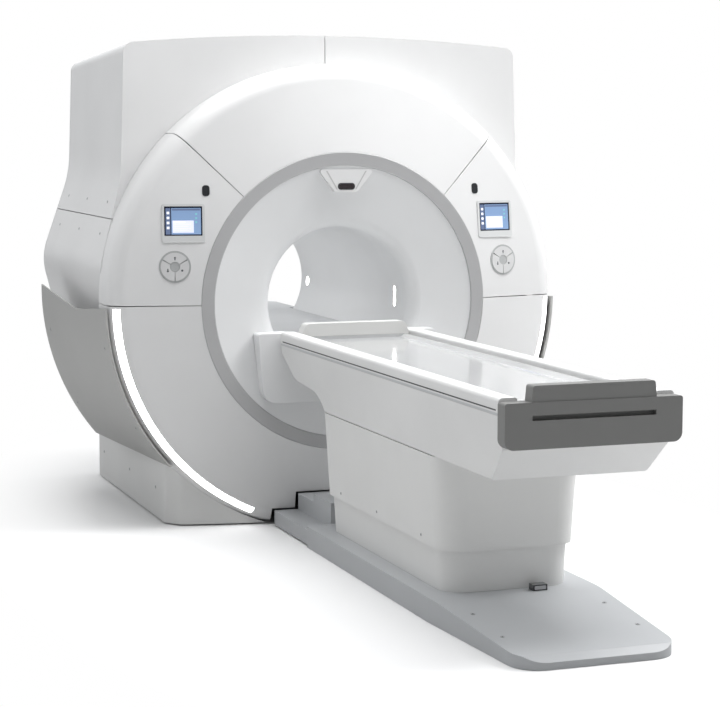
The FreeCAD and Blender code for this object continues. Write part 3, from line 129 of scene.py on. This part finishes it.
def moulded(name, colour, rough, grain_scale=420.0, grain=0.12, coat=0.0, fleck=0.0):
    """Painted or moulded plastic: cloudy colour, uneven gloss and a fine skin texture."""
    n = Nodes(name)
    cloud = n.noise(1.7, 4.0)
    shade = n.blend(n.span(cloud, 0.3, 0.7), tone(colour, 0.97), tone(colour, 1.03))
    if fleck:
        specks = n.span(n.noise(900.0, 1.0), 0.62, 0.72)
        shade = n.blend(n.math("MULTIPLY", specks, fleck), shade, tone(colour, 0.55))
    n.set(Base_Color=shade, Roughness=n.span(n.noise(3.0, 5.0), 0.3, 0.7, rough * 0.92, rough * 1.08))
    n.set(Normal=n.bump(n.noise(grain_scale, 2.0), grain * 0.5, 0.1 * MM))
    n.shader.inputs["Coat Weight"].default_value = coat
    n.shader.inputs["Coat Roughness"].default_value = COAT_ROUGH
    n.shader.inputs["IOR"].default_value = PLASTIC_IOR
    return n.material


def satin_metal(name, colour, rough, metallic, turned=False):
    """Satin lacquer over metal, brushed along Y, or turned: brushed round the bore axis."""
    n = Nodes(name)
    if turned:
        parts = n.axes()
        radius = n.length(parts["X"], n.math("SUBTRACT", parts["Z"], AXIS_Z))
        along = n.add("ShaderNodeCombineXYZ", {"X": radius, "Y": parts["Y"]}).outputs["Vector"]
        lines = n.noise(700.0, 2.0, along)
    else:
        lines = n.noise(180.0, 2.0, n.stretched((6.0, 0.15, 6.0)))
    cloud = n.noise(1.3, 3.0)
    shade = n.blend(n.span(cloud, 0.3, 0.7), tone(colour, 0.96), tone(colour, 1.04))
    shade = n.blend(n.math("MULTIPLY", lines, 0.10), shade, tone(colour, 0.8))
    n.set(Base_Color=shade, Roughness=n.span(lines, 0.2, 0.8, rough * 0.9, rough * 1.1),
          Normal=n.bump(lines, 0.06, 0.2 * MM))
    n.shader.inputs["Metallic"].default_value = metallic
    return n.material


def glowing(name, colour, strength, cells=24.0):
    """A lit diffuser with soft brighter spots where the lamps behind it sit."""
    n = Nodes(name)
    spots = n.noise(cells, 1.0)
    shade = n.blend(n.span(spots, 0.35, 0.65), tone(colour, 0.94), tone(colour, 1.0))
    n.set(Base_Color=tone(colour, 1.0), Emission_Color=shade, Roughness=0.35)
    n.shader.inputs["Emission Strength"].default_value = strength
    n.set(Normal=n.bump(n.noise(350.0, 1.0), 0.05, 0.2 * MM))
    return n.material


def dark_glass(name, colour):
    """Near-black glass with a little smearing."""
    n = Nodes(name)
    smears = n.noise(40.0, 5.0)
    n.set(Base_Color=n.blend(smears, tone(colour, 0.8), tone(colour, 1.3)),
          Roughness=n.span(smears, 0.3, 0.8, 0.06, 0.16))
    n.shader.inputs["Coat Weight"].default_value = 1.0
    return n.material


def wound(name, colour, pitch):
    """Windings: fine turns side by side along the bore, darker in the valleys between turns and lighter
    on their crowns: painted shade and painted highlight that follow the bump.
    """
    n = Nodes(name)
    turns = n.math("SINE", n.math("MULTIPLY", n.axes()["Y"], 2 * math.pi / pitch))
    # painted shade in the valleys between turns and painted highlight on their crowns
    shade = n.blend(n.span(turns, -1.0, 1.0), tone(colour, 0.6), tone(colour, 1.1))
    n.set(Base_Color=shade, Roughness=n.span(n.noise(30.0), 0.2, 0.8, 0.3, 0.5),
          Normal=n.bump(turns, 0.5, MM))
    n.shader.inputs["Metallic"].default_value = 0.7
    return n.material


MATERIALS = {
    "white_cover": moulded("cover_white", (0.76, 0.76, 0.76), 0.42, coat=0.12),
    "bore_white": moulded("bore_white", (0.78, 0.785, 0.79), 0.40, coat=0.15),
    "ring_grey": satin_metal("ring_satin", (0.50, 0.50, 0.505), 0.38, 0.3, turned=True),
    "wing_grey": satin_metal("wing_satin", (0.44, 0.44, 0.43), 0.45, 0.25),
    "strip_light": glowing("strip_light", (1.0, 1.0, 1.0), 4.0),
    "plinth_white": moulded("plinth_plastic", (0.74, 0.74, 0.73), 0.5, grain=0.2),
    "table_white": moulded("table_white", (0.75, 0.75, 0.745), 0.38, coat=0.15),
    "pan_grey": moulded("running_surface", (0.55, 0.56, 0.57), 0.38),
    "cradle_gloss": moulded("cradle_gloss", (0.52, 0.525, 0.53), 0.14, grain=0.03, coat=0.6),
    "lip_white": moulded("lip_white", (0.68, 0.68, 0.665), 0.42, grain=0.25),
    "bumper_grey": moulded("bumper_grain", (0.20, 0.20, 0.195), 0.5, 700.0, grain=0.5),
    "foot_plate_grey": moulded("plate_coat", (0.45, 0.462, 0.475), 0.42, 600.0, grain=0.25),
    "screen_glass": dark_glass("screen_glass", (0.05, 0.06, 0.10)),
    "bezel": moulded("bezel_white", (0.66, 0.67, 0.67), 0.35),
    "keypad": moulded("keypad_grey", (0.45, 0.46, 0.46), 0.4),
    "button": moulded("button_satin", (0.66, 0.66, 0.66), 0.4, grain=0.2),
    "dark_window": dark_glass("dark_window", (0.012, 0.013, 0.016)),
    "vent_dark": moulded("vent_dark", (0.07, 0.072, 0.072), 0.5, grain=0.4),
    "frame_steel": moulded("frame_paint", (0.2, 0.2, 0.2), 0.45, fleck=0.2),
    "vessel_steel": satin_metal("vessel_steel", (0.5, 0.5, 0.51), 0.3, 1.0),
    "winding_copper": wound("winding_copper", (0.6, 0.3, 0.17), 0.004),
    "resin_coil": wound("resin_coil", (0.5, 0.42, 0.2), 0.011),
    "strap_composite": moulded("strap_composite", (0.12, 0.1, 0.06), 0.5),
    "lift_metal": satin_metal("lift_alloy", (0.6, 0.6, 0.62), 0.28, 1.0),
}

SLOT_OF = {part["node"]: part["material_slot"] for part in frame["record"]["subparts"]}
for node_name, node_object in NODES.items():
    chosen = MATERIALS[SLOT_OF[node_name]]
    if node_object.material_slots:
        for material_slot in node_object.material_slots:
            material_slot.material = chosen
    else:
        node_object.data.materials.append(chosen)


# ---------------------------------------------------------------- camera, light and floor

CAMERA_PLACE = (-3.060, -9.6147, 1.824)
CAMERA_TURN = 19.762            # degrees to the right of straight along the bore
CAMERA_DIP = 6.227              # degrees below the horizon
CAMERA_LENS = 98.06             # millimetres
CAMERA_SENSOR = 36.0            # millimetres


def add_camera():
    data = bpy.data.cameras.new("camera")
    data.lens = CAMERA_LENS
    data.sensor_width = CAMERA_SENSOR
    camera = bpy.data.objects.new("camera", data)
    bpy.context.collection.objects.link(camera)
    camera.location = CAMERA_PLACE
    camera.rotation_euler = (math.radians(90 - CAMERA_DIP), 0.0, math.radians(-CAMERA_TURN))
    bpy.context.scene.camera = camera


def add_softbox(name, place, aim, size, power):
    data = bpy.data.lights.new(name, "AREA")
    data.shape = "RECTANGLE"
    data.size, data.size_y = size
    data.energy = power
    lamp = bpy.data.objects.new(name, data)
    bpy.context.collection.objects.link(lamp)
    lamp.location = place
    lamp.rotation_euler = (Vector(aim) - Vector(place)).to_track_quat("-Z", "Y").to_euler()


SKY = (1.0, 1.0, 1.0, 1.0)      # what the camera sees behind everything
AMBIENT_TINT = (0.97, 0.985, 1.0, 1.0)
AMBIENT = 0.79                  # strength of the even light from the back
FRONT_SHARE = 0.37              # how much of that comes from the table's side


def add_world():
    """White behind everything, and a dimmer light from all round, weakest at the front."""
    world = bpy.data.worlds.new("studio")
    world.use_nodes = True
    tree = world.node_tree
    tree.nodes.clear()
    rays = tree.nodes.new("ShaderNodeLightPath")
    shown = tree.nodes.new("ShaderNodeBackground")
    shown.inputs["Color"].default_value = SKY
    ambient = tree.nodes.new("ShaderNodeBackground")
    ambient.inputs["Color"].default_value = AMBIENT_TINT
    direction = tree.nodes.new("ShaderNodeSeparateXYZ")
    tree.links.new(tree.nodes.new("ShaderNodeTexCoord").outputs["Generated"], direction.inputs[0])
    share = tree.nodes.new("ShaderNodeMapRange")
    for name, value in (("From Min", -1.0), ("From Max", 0.6),
                        ("To Min", AMBIENT * FRONT_SHARE), ("To Max", AMBIENT)):
        share.inputs[name].default_value = value
    tree.links.new(direction.outputs["Y"], share.inputs["Value"])
    tree.links.new(share.outputs["Result"], ambient.inputs["Strength"])
    either = tree.nodes.new("ShaderNodeMixShader")
    output = tree.nodes.new("ShaderNodeOutputWorld")
    tree.links.new(rays.outputs["Is Camera Ray"], either.inputs[0])
    tree.links.new(ambient.outputs[0], either.inputs[1])
    tree.links.new(shown.outputs[0], either.inputs[2])
    tree.links.new(either.outputs[0], output.inputs["Surface"])
    bpy.context.scene.world = world


# The floor fades to white on an oval about FADE_MIDDLE on the bore axis, with these half axes.
FADE_ACROSS, FADE_ALONG, FADE_MIDDLE = 1.75, 4.0, -1.3
FADE_START, FADE_END = 0.66, 1.02                          # as shares of the oval
FLOOR_REACH = 40.0
FLOOR_SINK = 1 * MM


def add_floor():
    """A pale floor, darker to the light it throws back than to the camera."""
    n = Nodes("studio_floor")
    seen = n.add("ShaderNodeLightPath").outputs["Is Camera Ray"]
    pale = n.blend(n.noise(0.8, 2.0), (0.93, 0.93, 0.93, 1), (0.96, 0.96, 0.96, 1))
    n.set(Base_Color=n.blend(seen, (0.58, 0.58, 0.58, 1), pale), Roughness=0.85)
    n.set(Normal=n.bump(n.noise(60.0), 0.02))
    parts = n.axes()
    across = n.math("MULTIPLY", parts["X"], 1.0 / FADE_ACROSS)
    along = n.math("MULTIPLY", n.math("ADD", parts["Y"], -FADE_MIDDLE), 1.0 / FADE_ALONG)
    distance = n.length(across, along)
    glow = n.add("ShaderNodeEmission", {"Color": (1.0, 1.0, 1.0, 1.0), "Strength": 1.0}).outputs[0]
    share = n.math("MULTIPLY", n.span(distance, FADE_START, FADE_END), seen)
    fade = n.add("ShaderNodeMixShader", {0: share, 1: n.shader.outputs[0], 2: glow})
    n.tree.links.new(fade.outputs[0], n.tree.nodes["Material Output"].inputs["Surface"])
    mesh = bpy.data.meshes.new("floor")
    corners = [(x * FLOOR_REACH, y * FLOOR_REACH, 0) for x, y in ((-1, -1), (1, -1), (1, 1), (-1, 1))]
    mesh.from_pydata(corners, [], [(0, 1, 2, 3)])
    mesh.materials.append(n.material)
    floor = bpy.data.objects.new("floor", mesh)
    bpy.context.collection.objects.link(floor)
    floor.location.z = -FLOOR_SINK


SOFTBOXES = (                   # name, place, what it points at, size, watts
    ("key", (5.2, -2.4, 7.4), (0.2, -0.4, 1.6), (4.0, 4.0), 600),
    ("top", (0.0, -1.5, 8.0), (0.0, -1.0, 0.0), (7.0, 7.0), 520),
    ("bore", (0.0, 0.1, AXIS_Z + BORE_R - 0.012), (0.0, 0.1, AXIS_Z), (0.10, 1.3), 2.2),
)

add_camera()
add_world()
for softbox in SOFTBOXES:
    add_softbox(*softbox)
add_floor()
bpy.context.scene.view_settings.view_transform = "Standard"


# ---------------------------------------------------------------- mesh building

X_AXIS, Y_AXIS, Z_AXIS = Vector((1, 0, 0)), Vector((0, 1, 0)), Vector((0, 0, 1))
SHARP = math.radians(35.0)        # faces that meet at more than this keep a crisp edge
HERE = (0.0, 0.0)                 # the middle of a seat
FLUSH = -0.3 * MM                 # how far a detail is let into the surface that carries it
FAR_OUT = 2.0                     # a distance from the middle that is clear of the whole machine


class Seat:
    """A flat spot on a piece: its middle, and its sideways, upward and outward directions."""

    def __init__(self, middle, side, up, out, half_width=0.0, half_height=0.0):
        self.middle, self.side, self.up, self.out = middle, side, up, out
        self.half_width, self.half_height = half_width, half_height

    def point(self, x, y, lift):
        return self.middle + self.side * x + self.up * y + self.out * lift

    def spot(self, x, y):
        """The seat moved sideways and up over its surface."""
        return Seat(self.point(x, y, 0.0), self.side, self.up, self.out)


def seat_on(node, towards=-Y_AXIS, upright=Z_AXIS):
    """The flat side of a node that faces a given way."""
    mesh = NODES[node].data
    out = Vector((0.0, 0.0, 0.0))
    for polygon in mesh.polygons:
        if polygon.normal.dot(towards) > 0.9:
            out += polygon.normal * polygon.area
    out.normalize()
    side = upright.cross(out).normalized()
    up = out.cross(side)
    places = [v.co for v in mesh.vertices]
    spans = [[p.dot(axis) for p in places] for axis in (side, up, out)]
    middles = [(min(s) + max(s)) / 2 for s in spans[:2]] + [max(spans[2])]
    middle = side * middles[0] + up * middles[1] + out * middles[2]
    halves = [(max(s) - min(s)) / 2 for s in spans[:2]]
    return Seat(middle, side, up, out, *halves)


TREES = {}


def seat_at(node, start, towards, upright=Z_AXIS):
    """The spot where a line from start first meets a node."""
    if node not in TREES:
        mesh = NODES[node].data
        TREES[node] = BVHTree.FromPolygons([v.co for v in mesh.vertices],
                                           [tuple(p.vertices) for p in mesh.polygons])
    place, out, _, _ = TREES[node].ray_cast(Vector(start), Vector(towards))
    if out.dot(Vector(towards)) > 0:
        out = -out
    side = upright.cross(out).normalized()
    return Seat(place, side, out.cross(side), out)


def side_seat(node, side, y, z):
    """The spot on one side of a node, -1 for left and 1 for right, at a place along the bore."""
    return seat_at(node, (side * FAR_OUT, y, z), (-side, 0, 0))


def rounded(width, height, radius, steps=5):
    """Outline of a rounded rectangle about the origin."""
    points = []
    for turn, (sx, sy) in enumerate(((1, 1), (-1, 1), (-1, -1), (1, -1))):
        for step in range(steps + 1):
            angle = math.pi / 2 * (turn + step / steps)
            points.append((sx * (width / 2 - radius) + radius * math.cos(angle),
                           sy * (height / 2 - radius) + radius * math.sin(angle)))
    return points


def circle(radius, steps=32):
    angles = [2 * math.pi * k / steps for k in range(steps)]
    return [(radius * math.cos(angle), radius * math.sin(angle)) for angle in angles]


def join_rings(bm, rings):
    """Walls between rings of equally many points, and a lid on the last ring."""
    for below, above in zip(rings, rings[1:]):
        count = len(below)
        for k in range(count):
            after = (k + 1) % count
            bm.faces.new((below[k], below[after], above[after], above[k]))
    bm.faces.new(rings[-1])


def add_slab(bm, seat, outline, centre, low, high, bevel=0.0):
    """A thin slab with the given outline on a seat, from lift low to lift high."""
    cx, cy = centre
    count = len(outline)
    middle = Vector((sum(x for x, _ in outline) / count, sum(y for _, y in outline) / count))
    rows = [(low, 0.0), (high - bevel, 0.0), (high, bevel)] if bevel else [(low, 0.0), (high, 0.0)]
    rings = []
    for lift, inset in rows:
        ring = []
        for x, y in outline:
            inward = (middle - Vector((x, y))).normalized() * inset
            ring.append(bm.verts.new(seat.point(cx + x + inward.x, cy + y + inward.y, lift)))
        rings.append(ring)
    join_rings(bm, rings)
    bm.faces.new(list(reversed(rings[0])))


def finish_piece(name, bm, material, body):
    """Turn a filled bmesh into a piece that rides on a body."""
    bmesh.ops.recalc_face_normals(bm, faces=bm.faces)
    mesh = bpy.data.meshes.new(name)
    bm.to_mesh(mesh)
    bm.free()
    for polygon in mesh.polygons:
        polygon.use_smooth = True
    mesh.set_sharp_from_angle(angle=SHARP)
    mesh.materials.append(material)
    piece = bpy.data.objects.new(name, mesh)
    bpy.context.collection.objects.link(piece)
    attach(piece, body)


def slab_piece(name, slabs, material, body):
    """One piece made of slabs, each (seat, outline, centre, low, high, bevel)."""
    bm = bmesh.new()
    for slab in slabs:
        add_slab(bm, *slab)
    finish_piece(name, bm, material, body)


# ---------------------------------------------------------------- screens and keypads

FADE_LOW, FADE_HIGH = 0.30, 0.47  # heights above the bore axis between which a display darkens


def lit(name, colour, strength, fade=0.0):
    """Part of a lit display, a little uneven like a real panel; fade darkens it upwards."""
    n = Nodes(name)
    pixels = n.noise(1500.0, 0.0)
    shade = n.blend(n.math("MULTIPLY", pixels, 0.25), tone(colour, 1.0), tone(colour, 0.86))
    if fade:
        rise = n.span(n.axes()["Z"], AXIS_Z + FADE_LOW, AXIS_Z + FADE_HIGH)
        shade = n.blend(n.math("MULTIPLY", rise, fade), shade, tone(colour, 0.55))
    n.set(Base_Color=tone(colour, 0.5), Emission_Color=shade, Roughness=0.2)
    n.shader.inputs["Emission Strength"].default_value = strength
    n.set(Normal=n.bump(pixels, 0.02, 0.05 * MM))
    return n.material


DISPLAY = {                       # in the order in which the layers are laid
    "dark": lit("display_dark", (0.02, 0.025, 0.05), 0.3),
    "blue": lit("display_blue", (0.24, 0.36, 0.58), 0.75, 0.45),
    "slate": lit("display_slate", (0.12, 0.16, 0.27), 0.8),
    "pale": lit("display_pale", (0.70, 0.72, 0.86), 0.9),
    "white": lit("display_white", (0.9, 0.92, 0.98), 0.9),
    "teal": lit("display_teal", (0.2, 0.5, 0.55), 0.8),
}
ICON = moulded("icon_ink", (0.10, 0.11, 0.12), 0.45)
# near-black paint for painted shade: the shade in the rear cover's seams, below the rails and in the
# hexagon sockets of fasteners
SHADE_PAINT = moulded("shadow_line", (0.055, 0.057, 0.06), 0.6)
LAYER = 0.4 * MM                  # step in height from one display layer to the next
TILE, THIN_TILE = 0.3 * MM, 0.2 * MM


def display_tiles():
    """Plain generic windows: colour, width, height, corner in mm, place across and up, layer,
    thickness. Widths and places across are shares of the screen's width, the rest of its height."""
    tiles = [
        ("dark", 0.998, 0.998, 2.0, 0.0, 0.0, 1, TILE),
        ("blue", 0.78, 0.90, 1.5, 0.075, -0.005, 2, TILE),
        ("slate", 0.125, 0.90, 1.5, -0.40, -0.005, 2, TILE),
        ("slate", 0.74, 0.055, 1.0, 0.075, 0.39, 3, TILE),
        ("pale", 0.56, 0.42, 2.0, -0.005, -0.19, 3, TILE),
        ("white", 0.30, 0.045, 1.0, -0.10, -0.04, 4, THIN_TILE),
    ]
    for k in range(4):
        odd = k % 2
        tiles.append(("white", 0.07, 0.085, 1.2, -0.40, 0.28 - 0.17 * k, 3, TILE))
        tiles.append(("white", 0.44 - 0.06 * odd, 0.012, 0.5,
                      -(0.03 + 0.03 * odd), -(0.12 + 0.065 * k), 4, THIN_TILE))
    for k in range(3):
        tiles.append(("teal", 0.05, 0.06, 1.0, 0.34, 0.24 - 0.14 * k, 3, TILE))
    return tiles


def add_screen(side_name):
    seat = seat_on(f"screen_{side_name}")
    w, h = seat.half_width * 2, seat.half_height * 2
    layers = {colour: [] for colour in DISPLAY}
    for colour, wide, tall, corner, x, y, layer, thick in display_tiles():
        layers[colour].append((seat, rounded(w * wide, h * tall, corner * MM), (w * x, h * y),
                               LAYER * layer, LAYER * layer + thick))
    for colour, slabs in layers.items():
        slab_piece(f"screen_{side_name}_{colour}", slabs, DISPLAY[colour], "scanner")


def arrow(length, width, turn):
    """A plain arrow outline pointing up, turned in its own plane."""
    stem, neck = width * 0.18, length * 0.08
    shape = [(-stem, -length / 2), (stem, -length / 2), (stem, neck), (width * 0.5, neck),
             (0.0, length / 2), (-width * 0.5, neck), (-stem, neck)]
    c, s = math.cos(turn), math.sin(turn)
    return [(x * c - y * s, x * s + y * c) for x, y in shape]


MARKS = {
    "up": arrow(17 * MM, 13 * MM, 0.0),
    "down": arrow(17 * MM, 13 * MM, math.pi),
    "home": rounded(9 * MM, 9 * MM, 2 * MM),
}


def add_keypad_marks(side_name):
    for label, mark in MARKS.items():
        button = f"button_{side_name}_{label}"
        slab_piece(f"mark_{side_name}_{label}",
                   [(seat_on(button), mark, HERE, -0.2 * MM, 0.35 * MM)], ICON, button)


for side_name in ("left", "right"):
    add_screen(side_name)
    add_keypad_marks(side_name)


# ---------------------------------------------------------------- fasteners, seams and vents

CAP = moulded("cap_grey", (0.52, 0.52, 0.515), 0.4)
STEEL = satin_metal("fastener_steel", (0.42, 0.42, 0.43), 0.3, 0.9)
RUBBER = moulded("rubber_black", (0.03, 0.03, 0.031), 0.62, grain=0.5)
SPOT = glowing("bore_light", (1.0, 0.99, 0.97), 6.0, 60.0)
LENS = dark_glass("lens_glass", (0.02, 0.012, 0.014))
SIDES = ((-1, "left"), (1, "right"))


def add_caps(name, seats, body, radius):
    """Round fasteners, each a low cap with a dark hexagon in its middle: painted shade for the hexagon
    socket's recess.
    """
    cap, hexagon = circle(radius, 24), circle(radius * 0.42, 6)
    slab_piece(f"{name}_rim", [(seat, cap, HERE, FLUSH, 1.6 * MM, 0.5 * MM) for seat in seats],
               STEEL, body)
    slab_piece(f"{name}_socket", [(seat, hexagon, HERE, FLUSH, 1.8 * MM) for seat in seats],
               SHADE_PAINT, body)


CAP_ROWS = (                      # piece, node, places along the bore, heights, radius
    ("wing_{}_cap", "wing_{}", (-0.70, 0.30), (0.48, 0.86), 9 * MM),
    ("side_{}_cap", "side_cover_{}", (-0.42, 0.12, 0.66), (1.38,), 7 * MM),
    ("shroud_{}_cap", "shroud_{}", (-0.42, 0.12, 0.66), (1.53,), 7 * MM),
    ("plinth_{}_cap", "plinth", (-0.45, 0.10, 0.70), (0.15,), 8 * MM),
)


def add_body_fasteners():
    for side, side_name in SIDES:
        for piece, node, along, heights, radius in CAP_ROWS:
            seats = [side_seat(node.format(side_name), side, y, z) for y in along for z in heights]
            add_caps(piece.format(side_name), seats, "scanner", radius)
    plate = [seat_at("foot_plate", (x, y, 1.0), (0, 0, -1), Y_AXIS)
             for x in (-0.27, 0.27) for y in (-3.35, -3.08)]
    add_caps("foot_plate_cap", plate, "scanner", 9 * MM)


def add_vent_slats(count=20):
    seat = seat_on("top_vent", Z_AXIS, Y_AXIS)
    slat = rounded(seat.half_width * 1.72, 9 * MM, 4 * MM, 3)
    length = seat.half_height * 1.9
    slats = [(seat, slat, (0, length * ((k + 0.5) / count - 0.5)), -20 * MM, -8 * MM, 1 * MM)
             for k in range(count)]
    slab_piece("vent_slats", slats, STEEL, "scanner")


REAR_LINE = 3 * MM                # width of a seam in the rear cover
REAR_SEAM = 0.62                  # how far out the upright seams lie
LOUVRE_COUNT, LOUVRE_PITCH = 14, 20 * MM
SOCKET_PITCH = 90 * MM
REAR_CAPS = (                     # height from the bore axis, and the inner and outer cap there
    (-0.70, (0.66, 0.77)), (-0.28, (0.66, 0.90)), (0.46, (0.66, 0.90)), (0.98, (0.66, 0.90)))


def add_rear_cover_details():
    """Seams drawn in painted shade, louvres and socket plates; heights are measured from the bore axis.
    """
    seat = seat_on("rear_cover", Y_AXIS)
    centre = AXIS_Z - seat.middle.z
    upright, level = rounded(REAR_LINE, 1.80, 1 * MM, 2), rounded(0.34, REAR_LINE, 1 * MM, 2)
    louvre, plate = rounded(0.22, 8 * MM, 3.9 * MM, 3), rounded(0.20, 0.30, 12 * MM)
    socket = circle(0.022, 24)
    seam_shades, louvres, plates, sockets = [], [], [], []
    for side, _ in SIDES:
        seam_shades.append((seat, upright, (side * REAR_SEAM, 0.0), FLUSH, 0.4 * MM))
        seam_shades.append((seat, level, (side * 0.80, centre + 0.40), FLUSH, 0.4 * MM))
        for k in range(LOUVRE_COUNT):
            place = (side * 0.75, centre - 0.60 + LOUVRE_PITCH * k)
            louvres.append((seat, louvre, place, FLUSH, 3 * MM, 1.2 * MM))
        plates.append((seat, plate, (side * 0.79, centre + 0.72), FLUSH, 2.5 * MM, 1 * MM))
        for row in range(3):
            for column in (-0.5, 0.5):
                place = (side * 0.79 + column * SOCKET_PITCH, centre + 0.63 + row * SOCKET_PITCH)
                sockets.append((seat, socket, place, 2 * MM, 9 * MM, 2 * MM))
    slab_piece("rear_seam_shade", seam_shades, SHADE_PAINT, "scanner")
    slab_piece("rear_louvres", louvres, CAP, "scanner")
    slab_piece("rear_plates", plates, MATERIALS["vessel_steel"], "scanner")
    slab_piece("rear_sockets", sockets, RUBBER, "scanner")
    caps = [seat.spot(side * x, centre + z)
            for side, _ in SIDES for z, across in REAR_CAPS for x in across]
    add_caps("rear_cap", caps, "scanner", 7 * MM)


# ---------------------------------------------------------------- the bore and the laser housing

def bore_patch(name, outline, y, z, side, material, depth=1.5 * MM):
    """A thin lens that follows the curved wall of the bore; outline is (along, round the wall)."""
    lean = math.asin((z - AXIS_Z) / BORE_R)
    bm = bmesh.new()
    rings = []
    for radius, share in ((BORE_R + 0.2 * MM, 1.0), (BORE_R - depth, 0.94), (BORE_R - depth * 1.3, 0.5)):
        ring = []
        for along, round_it in outline:
            angle = lean + round_it * share / BORE_R
            ring.append(bm.verts.new((side * radius * math.cos(angle), y + along * share,
                                      AXIS_Z + radius * math.sin(angle))))
        rings.append(ring)
    join_rings(bm, rings)
    finish_piece(name, bm, material, "scanner")


RIM_DEPTH = 0.6 * MM
BORE_SPOT = (0.735, 1.042)        # place along the bore and height of the round lamp
BORE_BAR = (-0.632, 1.06)         # and of the long one


def add_bore_lights():
    for side, side_name in SIDES:
        bore_patch(f"bore_spot_{side_name}", circle(0.026), *BORE_SPOT, side, SPOT)
        bore_patch(f"bore_spot_rim_{side_name}", circle(0.031), *BORE_SPOT, side, CAP, RIM_DEPTH)
        bore_patch(f"bore_bar_{side_name}", rounded(0.028, 0.105, 13.9 * MM), *BORE_BAR, side, SPOT)
        bore_patch(f"bore_bar_rim_{side_name}", rounded(0.036, 0.113, 17.9 * MM), *BORE_BAR, side,
                   CAP, RIM_DEPTH)


def add_laser_details():
    window = seat_on("laser_window")
    w, h = window.half_width * 2, window.half_height * 2
    surround = rounded(w * 1.12, h * 1.3, h * 0.6)
    glass = rounded(w * 0.94, h * 0.9, h * 0.44)
    slab_piece("lens_surround", [(window, surround, HERE, -0.2 * MM, 1.2 * MM, 0.8 * MM)],
               RUBBER, "scanner")
    slab_piece("lens_glass", [(window, glass, HERE, 1.0 * MM, 3.6 * MM, 2 * MM)], LENS, "scanner")
    seat = seat_on("laser_housing")
    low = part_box("laser_housing")[0][2] - seat.middle.z
    # Grey lines down the slanted sides of the housing's front: painted shade for its side facets.
    facet_shades = []
    for side, _ in SIDES:
        edge = [(side * 0.094, low + 0.098), (side * 0.101, low + 0.098),
                (side * 0.049, low + 0.012), (side * 0.043, low + 0.012)]
        facet_shades.append((seat, edge, HERE, FLUSH, 0.5 * MM))
    slab_piece("laser_facet_shade", facet_shades, CAP, "scanner")


# ---------------------------------------------------------------- the table

def strip_along(name, x, z, out, start, end, width, depth, material):
    """A narrow strip along the table, its face turned outwards."""
    up = Z_AXIS if abs(out.z) < 0.5 else X_AXIS
    seat = Seat(Vector((x, (start + end) / 2, z)), up.cross(out), up, out)
    outline = rounded(abs(end - start), width, width * 0.45, 3)
    slab_piece(name, [(seat, outline, HERE, FLUSH, depth, depth * 0.4)], material, "table_top")


APRON_CAPS = (-2.60, -2.10, -1.65)


def add_table_details():
    rail_low, rail_high = (Vector(c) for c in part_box("deck_rails"))
    # Along each rail: a dark strip that is painted shade for the seam below the rail, and a grey track
    # strip on its top.
    for side, side_name in SIDES:
        strip_along(f"rail_seam_shade_{side_name}", side * rail_high.x, rail_low.z + 9 * MM,
                    X_AXIS * side, rail_low.y + 0.02, rail_high.y - 0.03, 5 * MM, 0.5 * MM, SHADE_PAINT)
        strip_along(f"rail_track_{side_name}", side * (rail_high.x - 0.036), rail_high.z,
                    Z_AXIS, rail_low.y + 0.10, rail_high.y - 0.12, 10 * MM, 0.6 * MM, CAP)
    latch = side_seat("deck_housing", 1, rail_high.y - 0.05, 0.84)
    slab_piece("head_latch", [(latch, rounded(0.060, 0.016, 5 * MM), HERE, FLUSH, 5 * MM, 2 * MM)],
               RUBBER, "table_top")
    apron = [side_seat("apron", side, y, 0.29) for side, _ in SIDES for y in APRON_CAPS]
    add_caps("apron_cap", apron, "table_top", 6 * MM)


def add_foot_socket_details():
    seat = seat_on("foot_socket")
    face = rounded(seat.half_width * 1.6, seat.half_height * 1.2, 3 * MM)
    slab_piece("socket_face", [(seat, face, HERE, FLUSH, 1 * MM, 0.4 * MM)], STEEL, "scanner")


add_body_fasteners()
add_vent_slats()
add_rear_cover_details()
add_bore_lights()
add_laser_details()
add_table_details()
add_foot_socket_details()
